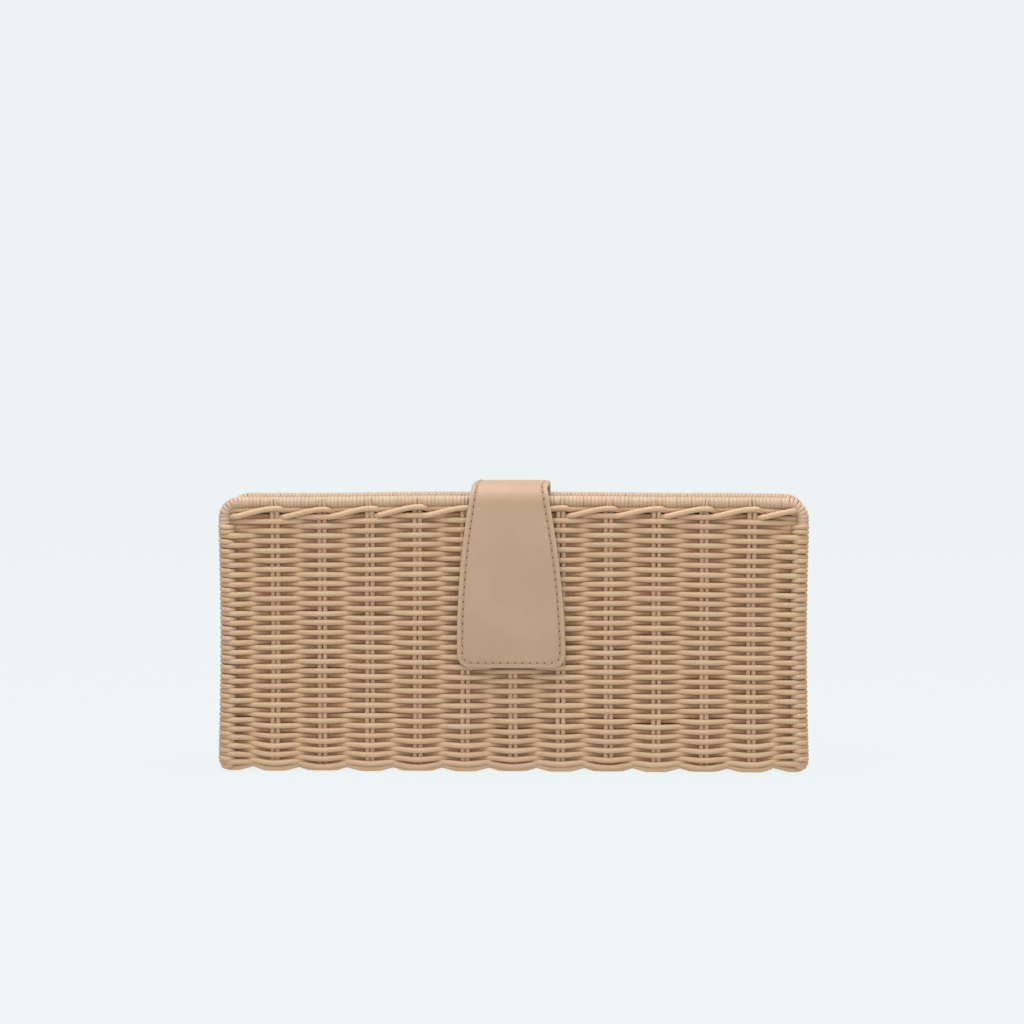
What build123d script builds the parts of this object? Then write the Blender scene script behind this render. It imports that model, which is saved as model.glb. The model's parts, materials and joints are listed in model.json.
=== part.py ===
from build123d import *
import os

# A woven box bag: a basket of round reed worked over paired stakes, with bound rims, a cloth
# lining and a leather closing strap that folds over the open top and holds by a hidden magnet.
# Millimetres. +X is the width, the front faces -Y, +Z is up. The origin is the middle of the
# flat face that the basket stands on.

os.makedirs("parts", exist_ok=True)

# Basket
width = 290.0
depth = 60.0
rim_height = 135.0  # top of the bound front and back rims
shoulder_height = 121.0  # top of the woven end walls
corner_round = 7.9  # upright outer corners of the weave

# Reeds and rods
weaver_d = 2.3
stake_d = 2.2
frame_d = 4.0
lapping_t = 1.1  # cane wound on the frame rods
stake_pairs = 11
stake_split = 0.1  # gap between the two reeds of a pair
end_stake_tail = 12.0  # length of an end stake that is tucked into the base
frame_bend = 7.0  # centre line radius of the frame's upper corners

# Clearances
running_gap = 0.1  # a reed in its channel, a rod's end, a disc in its pocket
cloth_gap = 0.3  # lining to weave
closing_gap = 0.3  # closed flap to the patch under it
fold_gap = 0.1  # each side of a fold in the strap

# Lining
lining_t = 0.9
lining_round = 2.0
lining_drop = 1.5  # hem below the top of the weave

# Closing strap: two layers of leather, glued and sewn
leather_t = 1.4
strap_bend = 6.0  # inner radius over the front and back rims
strap_lift = 3.3  # underside of the strap above the rims
flap_foot = 51.2  # height of the flap's lower edge
flap_full = 62.0  # the flap has its full width below this height
flap_half_width = 26.5
flap_flare = 7.9  # half width lost from there to the top of the strap
flare_power = 1.9
flap_corner = 5.5
tail_foot = 92.0  # height of the lower end of the strap on the back wall
tail_corner = 8.0

# Magnet, its keeper and the patch over it
magnet_height = 72.0
magnet_d = 14.0
magnet_t = 1.0
keeper_d = 16.0
keeper_t = 0.8
patch_width = 34.0
patch_height = 30.0
patch_corner = 5.0
patch_t = 1.0

# Rivets that hold the strap to the back wall
rivet_x = 9.0
rivet_height = 101.0
rivet_shank_d = 3.0
rivet_head_d = 8.0
rivet_head_t = 1.2
rivet_head_edge = 0.7
washer_d = 9.0
washer_t = 0.8

# Worked out from the values above
wall_t = 2 * weaver_d + stake_d
base_t = wall_t
bottom_round = base_t - 0.4
wall_mid_x = width / 2 - wall_t / 2
wall_mid_y = depth / 2 - wall_t / 2
stake_bend = bottom_round - wall_t / 2
rim_d = frame_d + 2 * lapping_t
rim_z = rim_height - rim_d / 2
post_inset = corner_round - (corner_round - wall_t / 2) * 0.5**0.5
post_x = width / 2 - post_inset
rim_y = depth / 2 - post_inset
post_foot = base_t / 2
field_top = rim_z - rim_d / 2 - running_gap
field_half_width = post_x - rim_d / 2 - running_gap
pitch = 2 * post_x / (stake_pairs + 1)
pair_offset = (stake_d + stake_split) / 2
channel_d = stake_d + 2 * running_gap
end_rim_z = shoulder_height + running_gap + rim_d / 2
end_rim_length = 2 * (rim_y - rim_d / 2 - running_gap)
flap_y = depth / 2 + patch_t + closing_gap  # inner face of the closed flap, in front
tail_y = depth / 2 + running_gap  # inner face of the strap on the back wall
strap_under = rim_height + strap_lift
strap_t = 2 * leather_t
strap_top = strap_under + strap_t
stake_columns = [-post_x + pitch * (i + 1) for i in range(stake_pairs)]


def flap_reach(height):
    """Half width of the flap at a height."""
    share = max(0.0, (height - flap_full) / (strap_top - flap_full))
    return flap_half_width - flap_flare * share**flare_power


def stepped_block(half_width, shoulder, inner_half_width, top, top_round):
    """Room for a wall or lining: full width up to the shoulder, then inside the frame."""
    with BuildPart() as block:
        with BuildSketch(Plane.XZ.offset(-depth)):
            with Locations((0, shoulder / 2)):
                Rectangle(2 * half_width, shoulder)
            with Locations((0, top / 2)):
                RectangleRounded(2 * inner_half_width, top, top_round)
        extrude(amount=2 * depth)
    return block.part


def save(part, name):
    """Labels a finished piece and writes its file."""
    part.label = name
    export_step(part, f"parts/{name}.step")


# Channels that the stakes leave in the weave, used as a cutting tool
with BuildPart() as channels:
    for column in stake_columns:
        with BuildLine(Plane.YZ.offset(column)):
            FilletPolyline(
                (-wall_mid_y, field_top + 1),
                (-wall_mid_y, base_t / 2),
                (wall_mid_y, base_t / 2),
                (wall_mid_y, field_top + 1),
                radius=stake_bend,
            )
        with BuildSketch(Plane((column, -wall_mid_y, field_top + 1))):
            SlotOverall(2 * pair_offset + channel_d, channel_d)
        sweep()
    for side in (-1, 1):
        with BuildLine(Plane.XZ):
            FilletPolyline(
                (side * wall_mid_x, shoulder_height + 1),
                (side * wall_mid_x, base_t / 2),
                (side * (wall_mid_x - end_stake_tail - running_gap), base_t / 2),
                radius=stake_bend,
            )
        with BuildSketch(Plane((side * wall_mid_x, 0, shoulder_height + 1))):
            SlotOverall(2 * pair_offset + channel_d, channel_d, rotation=90)
        sweep()
        for post_y in (-rim_y, rim_y):
            post_depth = shoulder_height + 1 - post_foot + running_gap
            with BuildSketch(Plane((side * post_x, post_y, post_foot - running_gap))):
                Circle(frame_d / 2 + running_gap)
            extrude(amount=post_depth)

# Woven wall: one band round the four sides
with BuildPart() as wall_weave:
    with BuildSketch(Plane.XY.offset(base_t)):
        RectangleRounded(width, depth, corner_round)
        RectangleRounded(
            width - 2 * wall_t, depth - 2 * wall_t, corner_round - wall_t, mode=Mode.SUBTRACT
        )
    extrude(amount=field_top - base_t)
    bend_inside = frame_bend - rim_d / 2 - running_gap
    add(
        stepped_block(width / 2 + 1, shoulder_height, field_half_width, field_top, bend_inside),
        mode=Mode.INTERSECT,
    )
    add(channels.part, mode=Mode.SUBTRACT)
    with BuildSketch(Plane.XZ.offset(depth / 2)):
        with Locations((0, magnet_height)):
            Circle(keeper_d / 2 + running_gap)
    extrude(amount=-keeper_t - running_gap, mode=Mode.SUBTRACT)
    with BuildSketch(Plane.XZ.offset(-depth / 2)):
        with Locations((-rivet_x, rivet_height), (rivet_x, rivet_height)):
            Circle(rivet_shank_d / 2 + running_gap)
    extrude(amount=wall_t, mode=Mode.SUBTRACT)
    with BuildSketch(Plane.XZ.offset(-depth / 2 + wall_t)):
        with Locations((-rivet_x, rivet_height), (rivet_x, rivet_height)):
            Circle(washer_d / 2 + running_gap)
    extrude(amount=-washer_t - 2 * running_gap, mode=Mode.SUBTRACT)
save(wall_weave.part, "wall_weave")

# Woven base, rounded up into the walls
with BuildPart() as base_weave:
    with BuildSketch():
        RectangleRounded(width, depth, corner_round)
    extrude(amount=base_t)
    fillet(base_weave.faces().sort_by(Axis.Z)[0].edges(), radius=bottom_round)
    add(channels.part, mode=Mode.SUBTRACT)
save(base_weave.part, "base_weave")

# Stakes: each reed runs down the front, under the base and up the back
for pair, column in enumerate(stake_columns):
    for place, offset_x in enumerate((-pair_offset, pair_offset)):
        with BuildPart() as stake:
            with BuildLine(Plane.YZ.offset(column + offset_x)):
                FilletPolyline(
                    (-wall_mid_y, field_top),
                    (-wall_mid_y, base_t / 2),
                    (wall_mid_y, base_t / 2),
                    (wall_mid_y, field_top),
                    radius=stake_bend,
                )
            with BuildSketch(Plane((column + offset_x, -wall_mid_y, field_top))):
                Circle(stake_d / 2)
            sweep()
        save(stake.part, f"stake_{2 * pair + place + 1:02d}")

# End stakes: one pair in each end wall, tucked under the base
for side, end in ((-1, "left"), (1, "right")):
    for place, offset_y in (("front", -pair_offset), ("back", pair_offset)):
        with BuildPart() as end_stake:
            with BuildLine(Plane.XZ.offset(-offset_y)):
                FilletPolyline(
                    (side * wall_mid_x, shoulder_height),
                    (side * wall_mid_x, base_t / 2),
                    (side * (wall_mid_x - end_stake_tail), base_t / 2),
                    radius=stake_bend,
                )
            with BuildSketch(Plane((side * wall_mid_x, offset_y, shoulder_height))):
                Circle(stake_d / 2)
            sweep()
        save(end_stake.part, f"{end}_end_stake_{place}")

# Frames: a rod down both corners and along the rim, and the cane bound round its top
for face, face_y in (("front", -rim_y), ("back", rim_y)):
    with BuildPart() as frame:
        with BuildLine(Plane.XZ.offset(-face_y)):
            FilletPolyline(
                (-post_x, post_foot),
                (-post_x, rim_z),
                (post_x, rim_z),
                (post_x, post_foot),
                radius=frame_bend,
            )
        with BuildSketch(Plane((-post_x, face_y, post_foot))):
            Circle(frame_d / 2)
        sweep()
    save(frame.part, f"{face}_frame_rod")

    with BuildPart() as lapping:
        lapping_foot = shoulder_height + running_gap
        with BuildLine(Plane.XZ.offset(-face_y)):
            FilletPolyline(
                (-post_x, lapping_foot),
                (-post_x, rim_z),
                (post_x, rim_z),
                (post_x, lapping_foot),
                radius=frame_bend,
            )
        with BuildSketch(Plane((-post_x, face_y, lapping_foot))):
            Circle(rim_d / 2)
            Circle(frame_d / 2 + running_gap / 2, mode=Mode.SUBTRACT)
        sweep()
    save(lapping.part, f"{face}_rim_binding")

# End rims: a short rod between the frames on each end wall, bound like them
for side, end in ((-1, "left"), (1, "right")):
    with BuildPart() as end_rod:
        with BuildSketch(Plane.XZ.offset(-end_rim_length / 2)):
            with Locations((side * post_x, end_rim_z)):
                Circle(frame_d / 2)
        extrude(amount=end_rim_length)
    save(end_rod.part, f"{end}_rim_rod")

    with BuildPart() as end_binding:
        with BuildSketch(Plane.XZ.offset(-end_rim_length / 2)):
            with Locations((side * post_x, end_rim_z)):
                Circle(rim_d / 2)
                Circle(frame_d / 2 + running_gap / 2, mode=Mode.SUBTRACT)
        extrude(amount=end_rim_length)
    save(end_binding.part, f"{end}_rim_binding")

# Cloth lining: a tub with a hem that follows the rims
with BuildPart() as lining:
    lining_half_x = width / 2 - wall_t - cloth_gap
    lining_half_y = depth / 2 - wall_t - cloth_gap
    lining_foot = base_t + cloth_gap
    lining_top = field_top - lining_drop
    with BuildSketch(Plane.XY.offset(lining_foot)):
        RectangleRounded(2 * lining_half_x, 2 * lining_half_y, lining_round)
    extrude(amount=lining_top - lining_foot)
    with BuildSketch(Plane.XY.offset(lining_foot + lining_t)):
        RectangleRounded(
            2 * (lining_half_x - lining_t), 2 * (lining_half_y - lining_t), lining_round - lining_t
        )
    extrude(amount=lining_top - lining_foot, mode=Mode.SUBTRACT)
    lining_shoulder = shoulder_height - lining_drop
    lining_inner = field_half_width - 2 * cloth_gap
    add(
        stepped_block(width / 2, lining_shoulder, lining_inner, lining_top, lining_round),
        mode=Mode.INTERSECT,
    )
save(lining.part, "lining")


def strap_line(inset):
    """Side view of the strap, at a distance out from its inner face."""
    return FilletPolyline(
        (-flap_y - inset, 0),
        (-flap_y - inset, strap_under + inset),
        (tail_y + inset, strap_under + inset),
        (tail_y + inset, 0),
        radius=strap_bend + inset,
    )


def strap_layer(inset, thickness):
    """A layer of the whole strap at full width, before its outline is cut."""
    with BuildPart() as layer:
        with BuildSketch(Plane.YZ.offset(-flap_half_width - 1)):
            with BuildLine():
                outer = strap_line(inset + thickness)
                inner = strap_line(inset)
                Line(outer @ 0, inner @ 0)
                Line(outer @ 1, inner @ 1)
            make_face()
        extrude(amount=2 * flap_half_width + 2)
    return layer.part


# The strap folds along the middle of its bend over each rim. Each plane faces the bridge.
front_bend_y = -flap_y + strap_bend
back_bend_y = tail_y - strap_bend
bend_z = strap_under - strap_bend
front_fold = Plane((0, front_bend_y, bend_z), z_dir=(0, 1, 1))
back_fold = Plane((0, back_bend_y, bend_z), z_dir=(0, -1, 1))
bridge_half_width = flap_reach(strap_top)

with BuildPart() as flap_shape:
    with BuildSketch(Plane.XZ.offset(-front_bend_y)):
        with BuildLine():
            steps = 5
            drop = (strap_top - flap_full) / steps
            heights = [strap_top - drop * i for i in range(steps + 1)]
            right = Spline([(flap_reach(h), h) for h in heights])
            left = mirror(right, about=Plane.YZ)
            Line((-bridge_half_width, strap_top), (bridge_half_width, strap_top))
            FilletPolyline(
                (flap_half_width, flap_full),
                (flap_half_width, flap_foot),
                (-flap_half_width, flap_foot),
                (-flap_half_width, flap_full),
                radius=flap_corner,
            )
        make_face()
    extrude(amount=depth)
    split(bisect_by=front_fold.offset(-fold_gap), keep=Keep.BOTTOM)

with BuildPart() as bridge_shape:
    with BuildSketch(Plane.XY.offset(bend_z)):
        Rectangle(2 * bridge_half_width, 2 * depth)
    extrude(amount=strap_top)
    split(bisect_by=front_fold.offset(fold_gap), keep=Keep.TOP)
    split(bisect_by=back_fold.offset(fold_gap), keep=Keep.TOP)

with BuildPart() as tail_shape:
    with BuildSketch(Plane.XZ.offset(-back_bend_y)):
        with BuildLine():
            FilletPolyline(
                (-bridge_half_width, strap_top),
                (-bridge_half_width, tail_foot),
                (bridge_half_width, tail_foot),
                (bridge_half_width, strap_top),
                radius=tail_corner,
            )
            Line((-bridge_half_width, strap_top), (bridge_half_width, strap_top))
        make_face()
        with Locations((-rivet_x, rivet_height), (rivet_x, rivet_height)):
            Circle(rivet_shank_d / 2 + running_gap / 2, mode=Mode.SUBTRACT)
    extrude(amount=-depth)
    split(bisect_by=back_fold.offset(-fold_gap), keep=Keep.BOTTOM)

with BuildPart() as magnet_pocket:
    with BuildSketch(Plane.XZ.offset(flap_y + leather_t - magnet_t / 2 - running_gap)):
        with Locations((0, magnet_height)):
            Circle(magnet_d / 2 + running_gap)
    extrude(amount=magnet_t + 2 * running_gap)

for layer_name, inset in (("inner", 0.0), ("outer", leather_t)):
    for length_name, shape in (("flap", flap_shape), ("bridge", bridge_shape), ("tail", tail_shape)):
        with BuildPart() as layer:
            add(strap_layer(inset, leather_t))
            add(shape.part, mode=Mode.INTERSECT)
            if length_name == "flap":
                add(magnet_pocket.part, mode=Mode.SUBTRACT)
        save(layer.part, f"{length_name}_{layer_name}_leather")

with BuildPart() as flap_magnet:
    with BuildSketch(Plane.XZ.offset(flap_y + leather_t - magnet_t / 2)):
        with Locations((0, magnet_height)):
            Circle(magnet_d / 2)
    extrude(amount=magnet_t)
save(flap_magnet.part, "flap_magnet")

# Steel keeper let into the weave, and the leather patch sewn over it
with BuildPart() as keeper_disc:
    with BuildSketch(Plane.XZ.offset(depth / 2)):
        with Locations((0, magnet_height)):
            Circle(keeper_d / 2)
    extrude(amount=-keeper_t)
save(keeper_disc.part, "keeper_disc")

with BuildPart() as keeper_patch:
    with BuildSketch(Plane.XZ.offset(depth / 2)):
        with Locations((0, magnet_height)):
            RectangleRounded(patch_width, patch_height, patch_corner)
    extrude(amount=patch_t)
save(keeper_patch.part, "keeper_patch")

# Rivets through the strap's tail and the back wall, closed on washers inside the lining
for side, hand in ((-1, "left"), (1, "right")):
    with BuildPart() as rivet:
        head_y = tail_y + strap_t
        shank_end = depth / 2 - wall_t + running_gap
        with BuildSketch(Plane.XZ.offset(-shank_end)):
            with Locations((side * rivet_x, rivet_height)):
                Circle(rivet_shank_d / 2)
        extrude(amount=shank_end - head_y)
        with BuildSketch(Plane.XZ.offset(-head_y)):
            with Locations((side * rivet_x, rivet_height)):
                Circle(rivet_head_d / 2)
        extrude(amount=-rivet_head_t)
        fillet(rivet.edges().sort_by(Axis.Y)[-1], radius=rivet_head_edge)
    save(rivet.part, f"{hand}_rivet")

    with BuildPart() as washer:
        washer_y = depth / 2 - wall_t + running_gap
        with BuildSketch(Plane.XZ.offset(-washer_y)):
            with Locations((side * rivet_x, rivet_height)):
                Circle(washer_d / 2)
                Circle(rivet_shank_d / 2 + running_gap / 2, mode=Mode.SUBTRACT)
        extrude(amount=-washer_t)
    save(washer.part, f"{hand}_washer")
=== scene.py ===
"""A box bag woven in round reed, with bound rims, a cloth lining and a leather strap."""

import json
import logging
import math
from dataclasses import dataclass, field
from enum import Enum
from typing import Iterable, Optional, Sequence, Union

import bmesh
import bpy
import numpy as np
from mathutils import Vector
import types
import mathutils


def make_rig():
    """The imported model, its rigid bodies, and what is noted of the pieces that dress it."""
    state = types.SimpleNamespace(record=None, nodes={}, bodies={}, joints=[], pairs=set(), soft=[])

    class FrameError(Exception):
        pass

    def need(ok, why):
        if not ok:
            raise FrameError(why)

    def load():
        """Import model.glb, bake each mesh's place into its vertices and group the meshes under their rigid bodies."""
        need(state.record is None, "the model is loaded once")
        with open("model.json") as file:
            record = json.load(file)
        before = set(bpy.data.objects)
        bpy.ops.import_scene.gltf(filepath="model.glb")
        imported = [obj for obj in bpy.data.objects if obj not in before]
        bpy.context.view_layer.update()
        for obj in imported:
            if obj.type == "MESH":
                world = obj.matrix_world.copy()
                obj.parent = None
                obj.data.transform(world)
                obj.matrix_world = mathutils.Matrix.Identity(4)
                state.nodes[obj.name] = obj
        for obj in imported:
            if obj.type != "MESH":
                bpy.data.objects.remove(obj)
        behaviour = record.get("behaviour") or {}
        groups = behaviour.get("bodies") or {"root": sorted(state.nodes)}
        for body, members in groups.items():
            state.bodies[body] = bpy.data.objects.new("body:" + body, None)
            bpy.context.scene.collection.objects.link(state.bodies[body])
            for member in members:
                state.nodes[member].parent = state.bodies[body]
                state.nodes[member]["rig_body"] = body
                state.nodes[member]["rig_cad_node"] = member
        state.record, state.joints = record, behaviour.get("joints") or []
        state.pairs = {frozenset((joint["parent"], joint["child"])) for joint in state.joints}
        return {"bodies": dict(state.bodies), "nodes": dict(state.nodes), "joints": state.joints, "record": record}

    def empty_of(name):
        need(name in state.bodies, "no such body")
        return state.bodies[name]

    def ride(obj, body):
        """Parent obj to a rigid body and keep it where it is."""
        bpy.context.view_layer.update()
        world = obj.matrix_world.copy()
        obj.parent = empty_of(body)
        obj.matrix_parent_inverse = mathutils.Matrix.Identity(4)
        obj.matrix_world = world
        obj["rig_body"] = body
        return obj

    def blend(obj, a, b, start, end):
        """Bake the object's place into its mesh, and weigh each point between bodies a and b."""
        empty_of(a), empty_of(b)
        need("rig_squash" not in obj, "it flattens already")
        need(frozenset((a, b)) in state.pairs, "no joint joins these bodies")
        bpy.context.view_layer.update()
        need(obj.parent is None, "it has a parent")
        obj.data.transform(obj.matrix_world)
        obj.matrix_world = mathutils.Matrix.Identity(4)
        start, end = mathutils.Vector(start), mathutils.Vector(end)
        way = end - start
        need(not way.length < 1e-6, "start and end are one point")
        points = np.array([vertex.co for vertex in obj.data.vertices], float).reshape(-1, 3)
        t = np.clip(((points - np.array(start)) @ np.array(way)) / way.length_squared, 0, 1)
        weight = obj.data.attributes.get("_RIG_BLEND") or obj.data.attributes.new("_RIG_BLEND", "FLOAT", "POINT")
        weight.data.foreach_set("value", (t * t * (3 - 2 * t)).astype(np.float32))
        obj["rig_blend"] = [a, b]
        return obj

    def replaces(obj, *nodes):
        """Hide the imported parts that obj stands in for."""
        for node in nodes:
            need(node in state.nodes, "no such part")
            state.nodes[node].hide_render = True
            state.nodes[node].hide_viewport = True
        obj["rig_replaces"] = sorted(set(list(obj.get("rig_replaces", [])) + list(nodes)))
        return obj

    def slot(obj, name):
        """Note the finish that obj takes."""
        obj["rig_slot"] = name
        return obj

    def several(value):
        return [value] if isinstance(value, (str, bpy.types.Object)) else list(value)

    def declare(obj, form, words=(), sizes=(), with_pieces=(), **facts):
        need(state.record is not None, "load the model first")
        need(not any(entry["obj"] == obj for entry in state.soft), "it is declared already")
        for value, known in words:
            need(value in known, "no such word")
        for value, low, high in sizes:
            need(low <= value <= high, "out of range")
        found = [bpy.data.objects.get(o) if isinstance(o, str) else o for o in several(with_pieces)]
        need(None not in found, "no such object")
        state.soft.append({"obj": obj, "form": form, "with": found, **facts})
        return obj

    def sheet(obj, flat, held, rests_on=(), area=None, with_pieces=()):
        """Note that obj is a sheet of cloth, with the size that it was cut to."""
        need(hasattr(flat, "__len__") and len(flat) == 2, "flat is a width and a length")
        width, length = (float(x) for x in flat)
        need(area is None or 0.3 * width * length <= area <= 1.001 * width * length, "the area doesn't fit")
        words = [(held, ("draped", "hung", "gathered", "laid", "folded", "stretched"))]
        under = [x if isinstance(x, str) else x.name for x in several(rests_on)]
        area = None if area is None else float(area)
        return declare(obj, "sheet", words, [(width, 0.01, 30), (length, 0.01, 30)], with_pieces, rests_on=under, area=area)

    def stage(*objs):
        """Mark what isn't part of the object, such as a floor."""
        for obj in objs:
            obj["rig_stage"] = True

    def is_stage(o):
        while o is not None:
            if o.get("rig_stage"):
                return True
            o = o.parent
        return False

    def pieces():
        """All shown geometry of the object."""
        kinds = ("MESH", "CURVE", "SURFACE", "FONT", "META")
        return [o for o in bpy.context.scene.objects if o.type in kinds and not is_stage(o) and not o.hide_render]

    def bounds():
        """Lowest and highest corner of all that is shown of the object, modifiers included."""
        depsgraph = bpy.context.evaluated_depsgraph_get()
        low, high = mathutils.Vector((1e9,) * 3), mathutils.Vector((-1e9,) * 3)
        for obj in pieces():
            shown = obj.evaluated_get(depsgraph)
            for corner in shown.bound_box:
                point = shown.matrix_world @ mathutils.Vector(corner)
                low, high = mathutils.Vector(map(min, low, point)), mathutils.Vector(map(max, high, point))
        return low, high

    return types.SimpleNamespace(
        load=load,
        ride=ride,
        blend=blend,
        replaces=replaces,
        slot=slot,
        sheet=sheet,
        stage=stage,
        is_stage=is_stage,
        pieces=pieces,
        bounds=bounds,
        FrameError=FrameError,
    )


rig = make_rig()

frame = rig.load()

LOG = logging.getLogger("box_bag")
WELD = 2e-6
Colour = tuple[float, float, float]
Key = Union[str, int]
Faces = list[tuple[int, ...]]


def smooth(value: np.ndarray, low: float, high: float) -> np.ndarray:
    """Eases from 0 at low to 1 at high.

    Args:
        value: The numbers to ease.
        low: Where the result is 0.
        high: Where the result is 1.

    Returns:
        The eased share of each number.
    """
    share = np.clip((np.asarray(value, float) - low) / (high - low), 0.0, 1.0)
    return share * share * (3.0 - 2.0 * share)


# ---------------------------------------------------------------- meshes


def link(name: str, data: object) -> bpy.types.Object:
    """Makes an object for a mesh, lamp or camera and puts it in the scene."""
    made = bpy.data.objects.new(name, data)
    bpy.context.scene.collection.objects.link(made)
    return made


def store(mesh: bpy.types.Mesh, name: str, values: object) -> None:
    """Keeps a number or a vector with each point of a mesh."""
    values = np.asarray(values, float)
    kind, key = ("FLOAT", "value") if values.ndim == 1 else ("FLOAT_VECTOR", "vector")
    mesh.attributes.new(name, kind, "POINT").data.foreach_set(key, values.ravel())


def band(first: int, second: int, count: int) -> Faces:
    """Joins two closed rings of points with faces.

    Args:
        first: Number of the first ring's first point.
        second: Number of the second ring's first point.
        count: Points in each ring.

    Returns:
        The faces.
    """
    pairs = [(j, (j + 1) % count) for j in range(count)]
    return [(first + j, first + k, second + k, second + j) for j, k in pairs]


def solid(
    name: str,
    verts: Sequence,
    faces: Faces,
    uvs: Optional[Sequence] = None,
    **numbers: Sequence[float],
) -> bpy.types.Object:
    """Makes a smooth piece, welded and with its faces turned outwards.

    Args:
        name: The piece's name.
        verts: Its points.
        faces: Its faces.
        uvs: A place on the flat cloth for each point.
        numbers: Values for each point, by name.

    Returns:
        The piece.
    """
    mesh = bpy.data.meshes.new(name)
    mesh.from_pydata([tuple(p) for p in verts], [], faces)
    for label, values in numbers.items():
        store(mesh, label, values)
    if uvs:
        layer = mesh.uv_layers.new(name="cloth")
        for loop in mesh.loops:
            layer.data[loop.index].uv = uvs[loop.vertex_index]
    work = bmesh.new()
    work.from_mesh(mesh)
    bmesh.ops.remove_doubles(work, verts=work.verts, dist=WELD)
    bmesh.ops.recalc_face_normals(work, faces=work.faces)
    for face in work.faces:
        face.smooth = True
    work.to_mesh(mesh)
    work.free()
    return link(name, mesh)


def evaluated(piece: bpy.types.Object) -> bpy.types.Mesh:
    """Gives a piece's mesh with its modifiers applied."""
    graph = bpy.context.evaluated_depsgraph_get()
    mesh = bpy.data.meshes.new_from_object(piece.evaluated_get(graph), depsgraph=graph)
    piece.modifiers.clear()
    return mesh


# ---------------------------------------------------------------- nodes


class Signal:
    """Anything carried by a socket; arithmetic on it adds Math nodes."""

    def __init__(self, bench: "Bench", socket: bpy.types.NodeSocket) -> None:
        """Wraps a socket of a bench's tree."""
        self.bench = bench
        self.socket = socket

    def _maths(self, operation: str, *values: object) -> "Signal":
        """Adds one Math node and returns its result."""
        settings = {"operation": operation}
        return self.bench.signal("ShaderNodeMath", settings, dict(enumerate(values)))

    def __add__(self, other: object) -> "Signal":
        """Self plus other."""
        return self._maths("ADD", self, other)

    def __radd__(self, other: object) -> "Signal":
        """Other plus self."""
        return self._maths("ADD", other, self)

    def __sub__(self, other: object) -> "Signal":
        """Self minus other."""
        return self._maths("SUBTRACT", self, other)

    def __rsub__(self, other: object) -> "Signal":
        """Other minus self."""
        return self._maths("SUBTRACT", other, self)

    def __mul__(self, other: object) -> "Signal":
        """Self times other."""
        return self._maths("MULTIPLY", self, other)

    def sine(self) -> "Signal":
        """The sine of the number."""
        return self._maths("SINE", self)

    def eased(self, low: float, high: float) -> "Signal":
        """Eases from 0 at low to 1 at high."""
        settings = {"interpolation_type": "SMOOTHSTEP"}
        inputs = {"Value": self, "From Min": low, "From Max": high}
        return self.bench.signal("ShaderNodeMapRange", settings, inputs)


class Bench:
    """A node tree with one method that adds any node to it."""

    def __init__(self, tree: bpy.types.NodeTree) -> None:
        """Takes the tree to work in."""
        self.tree = tree

    def add(
        self,
        kind: str,
        settings: Optional[dict[str, object]] = None,
        inputs: Optional[dict[Key, object]] = None,
    ) -> bpy.types.Node:
        """Adds a node, sets it up, and then fills its sockets.

        Args:
            kind: The node's type.
            settings: Values for its properties.
            inputs: A value, socket or signal for each named or numbered input.

        Returns:
            The new node.
        """
        node = self.tree.nodes.new(kind)
        for name, value in (settings or {}).items():
            setattr(node, name, value)
        for name, value in (inputs or {}).items():
            self.fill(node.inputs[name], value)
        return node

    def fill(self, target: bpy.types.NodeSocket, value: object) -> None:
        """Links a signal to an input, or gives the input a value."""
        if isinstance(value, Signal):
            self.tree.links.new(value.socket, target)
        elif target.type == "RGBA":
            target.default_value = (*value, 1.0)
        else:
            target.default_value = value

    def signal(
        self,
        kind: str,
        settings: Optional[dict[str, object]] = None,
        inputs: Optional[dict[Key, object]] = None,
        output: Key = 0,
    ) -> Signal:
        """Adds a node and returns one of its outputs as a signal."""
        return Signal(self, self.add(kind, settings, inputs).outputs[output])

    def attribute(self, name: str, output: str = "Fac") -> Signal:
        """Reads what the mesh keeps under a name."""
        return self.signal("ShaderNodeAttribute", {"attribute_name": name}, output=output)

    def place(self) -> Signal:
        """Reads the place on the object."""
        return self.signal("ShaderNodeTexCoord", output="Object")

    def noise(self, vector: Signal, scale: float = 5.0, detail: float = 2.0) -> Signal:
        """Adds noise over a vector."""
        inputs = {"Vector": vector, "Scale": scale, "Detail": detail}
        return self.signal("ShaderNodeTexNoise", {}, inputs)

    def scaled(self, vector: Signal, scale: object) -> Signal:
        """Multiplies a vector by another, part by part."""
        return self.signal("ShaderNodeVectorMath", {"operation": "MULTIPLY"}, {0: vector, 1: scale})

    def blend(self, share: object, low: object, high: object, mode: str = "MIX") -> Signal:
        """Mixes two colours.

        Args:
            share: How much of the second colour shows.
            low: The colour at 0.
            high: The colour at 1.
            mode: How the second colour meets the first.

        Returns:
            The mixed colour.
        """
        settings = {"data_type": "RGBA", "blend_type": mode}
        return self.signal("ShaderNodeMix", settings, {0: share, 6: low, 7: high}, 2)


class Surface:
    """A material whose shader takes signals."""

    def __init__(self, name: str, **constants: object) -> None:
        """Starts the material.

        Args:
            name: The material's name.
            constants: Values for the shader's own sockets, with spaces as underscores.
        """
        self.material = bpy.data.materials.new(name)
        self.material.use_nodes = True
        self.bench = Bench(self.material.node_tree)
        self.set(**constants)

    def set(self, **values: object) -> None:
        """Gives the shader's sockets a value or a signal each, with spaces as underscores."""
        shader = self.material.node_tree.nodes["Principled BSDF"]
        for label, value in values.items():
            self.bench.fill(shader.inputs[label.replace("_", " ")], value)

    def relief(self, height: Signal, strength: float, distance: float) -> None:
        """Raises the surface by a bump."""
        inputs = {"Height": height, "Strength": strength, "Distance": distance}
        self.set(Normal=self.bench.signal("ShaderNodeBump", {}, inputs, "Normal"))


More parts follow.
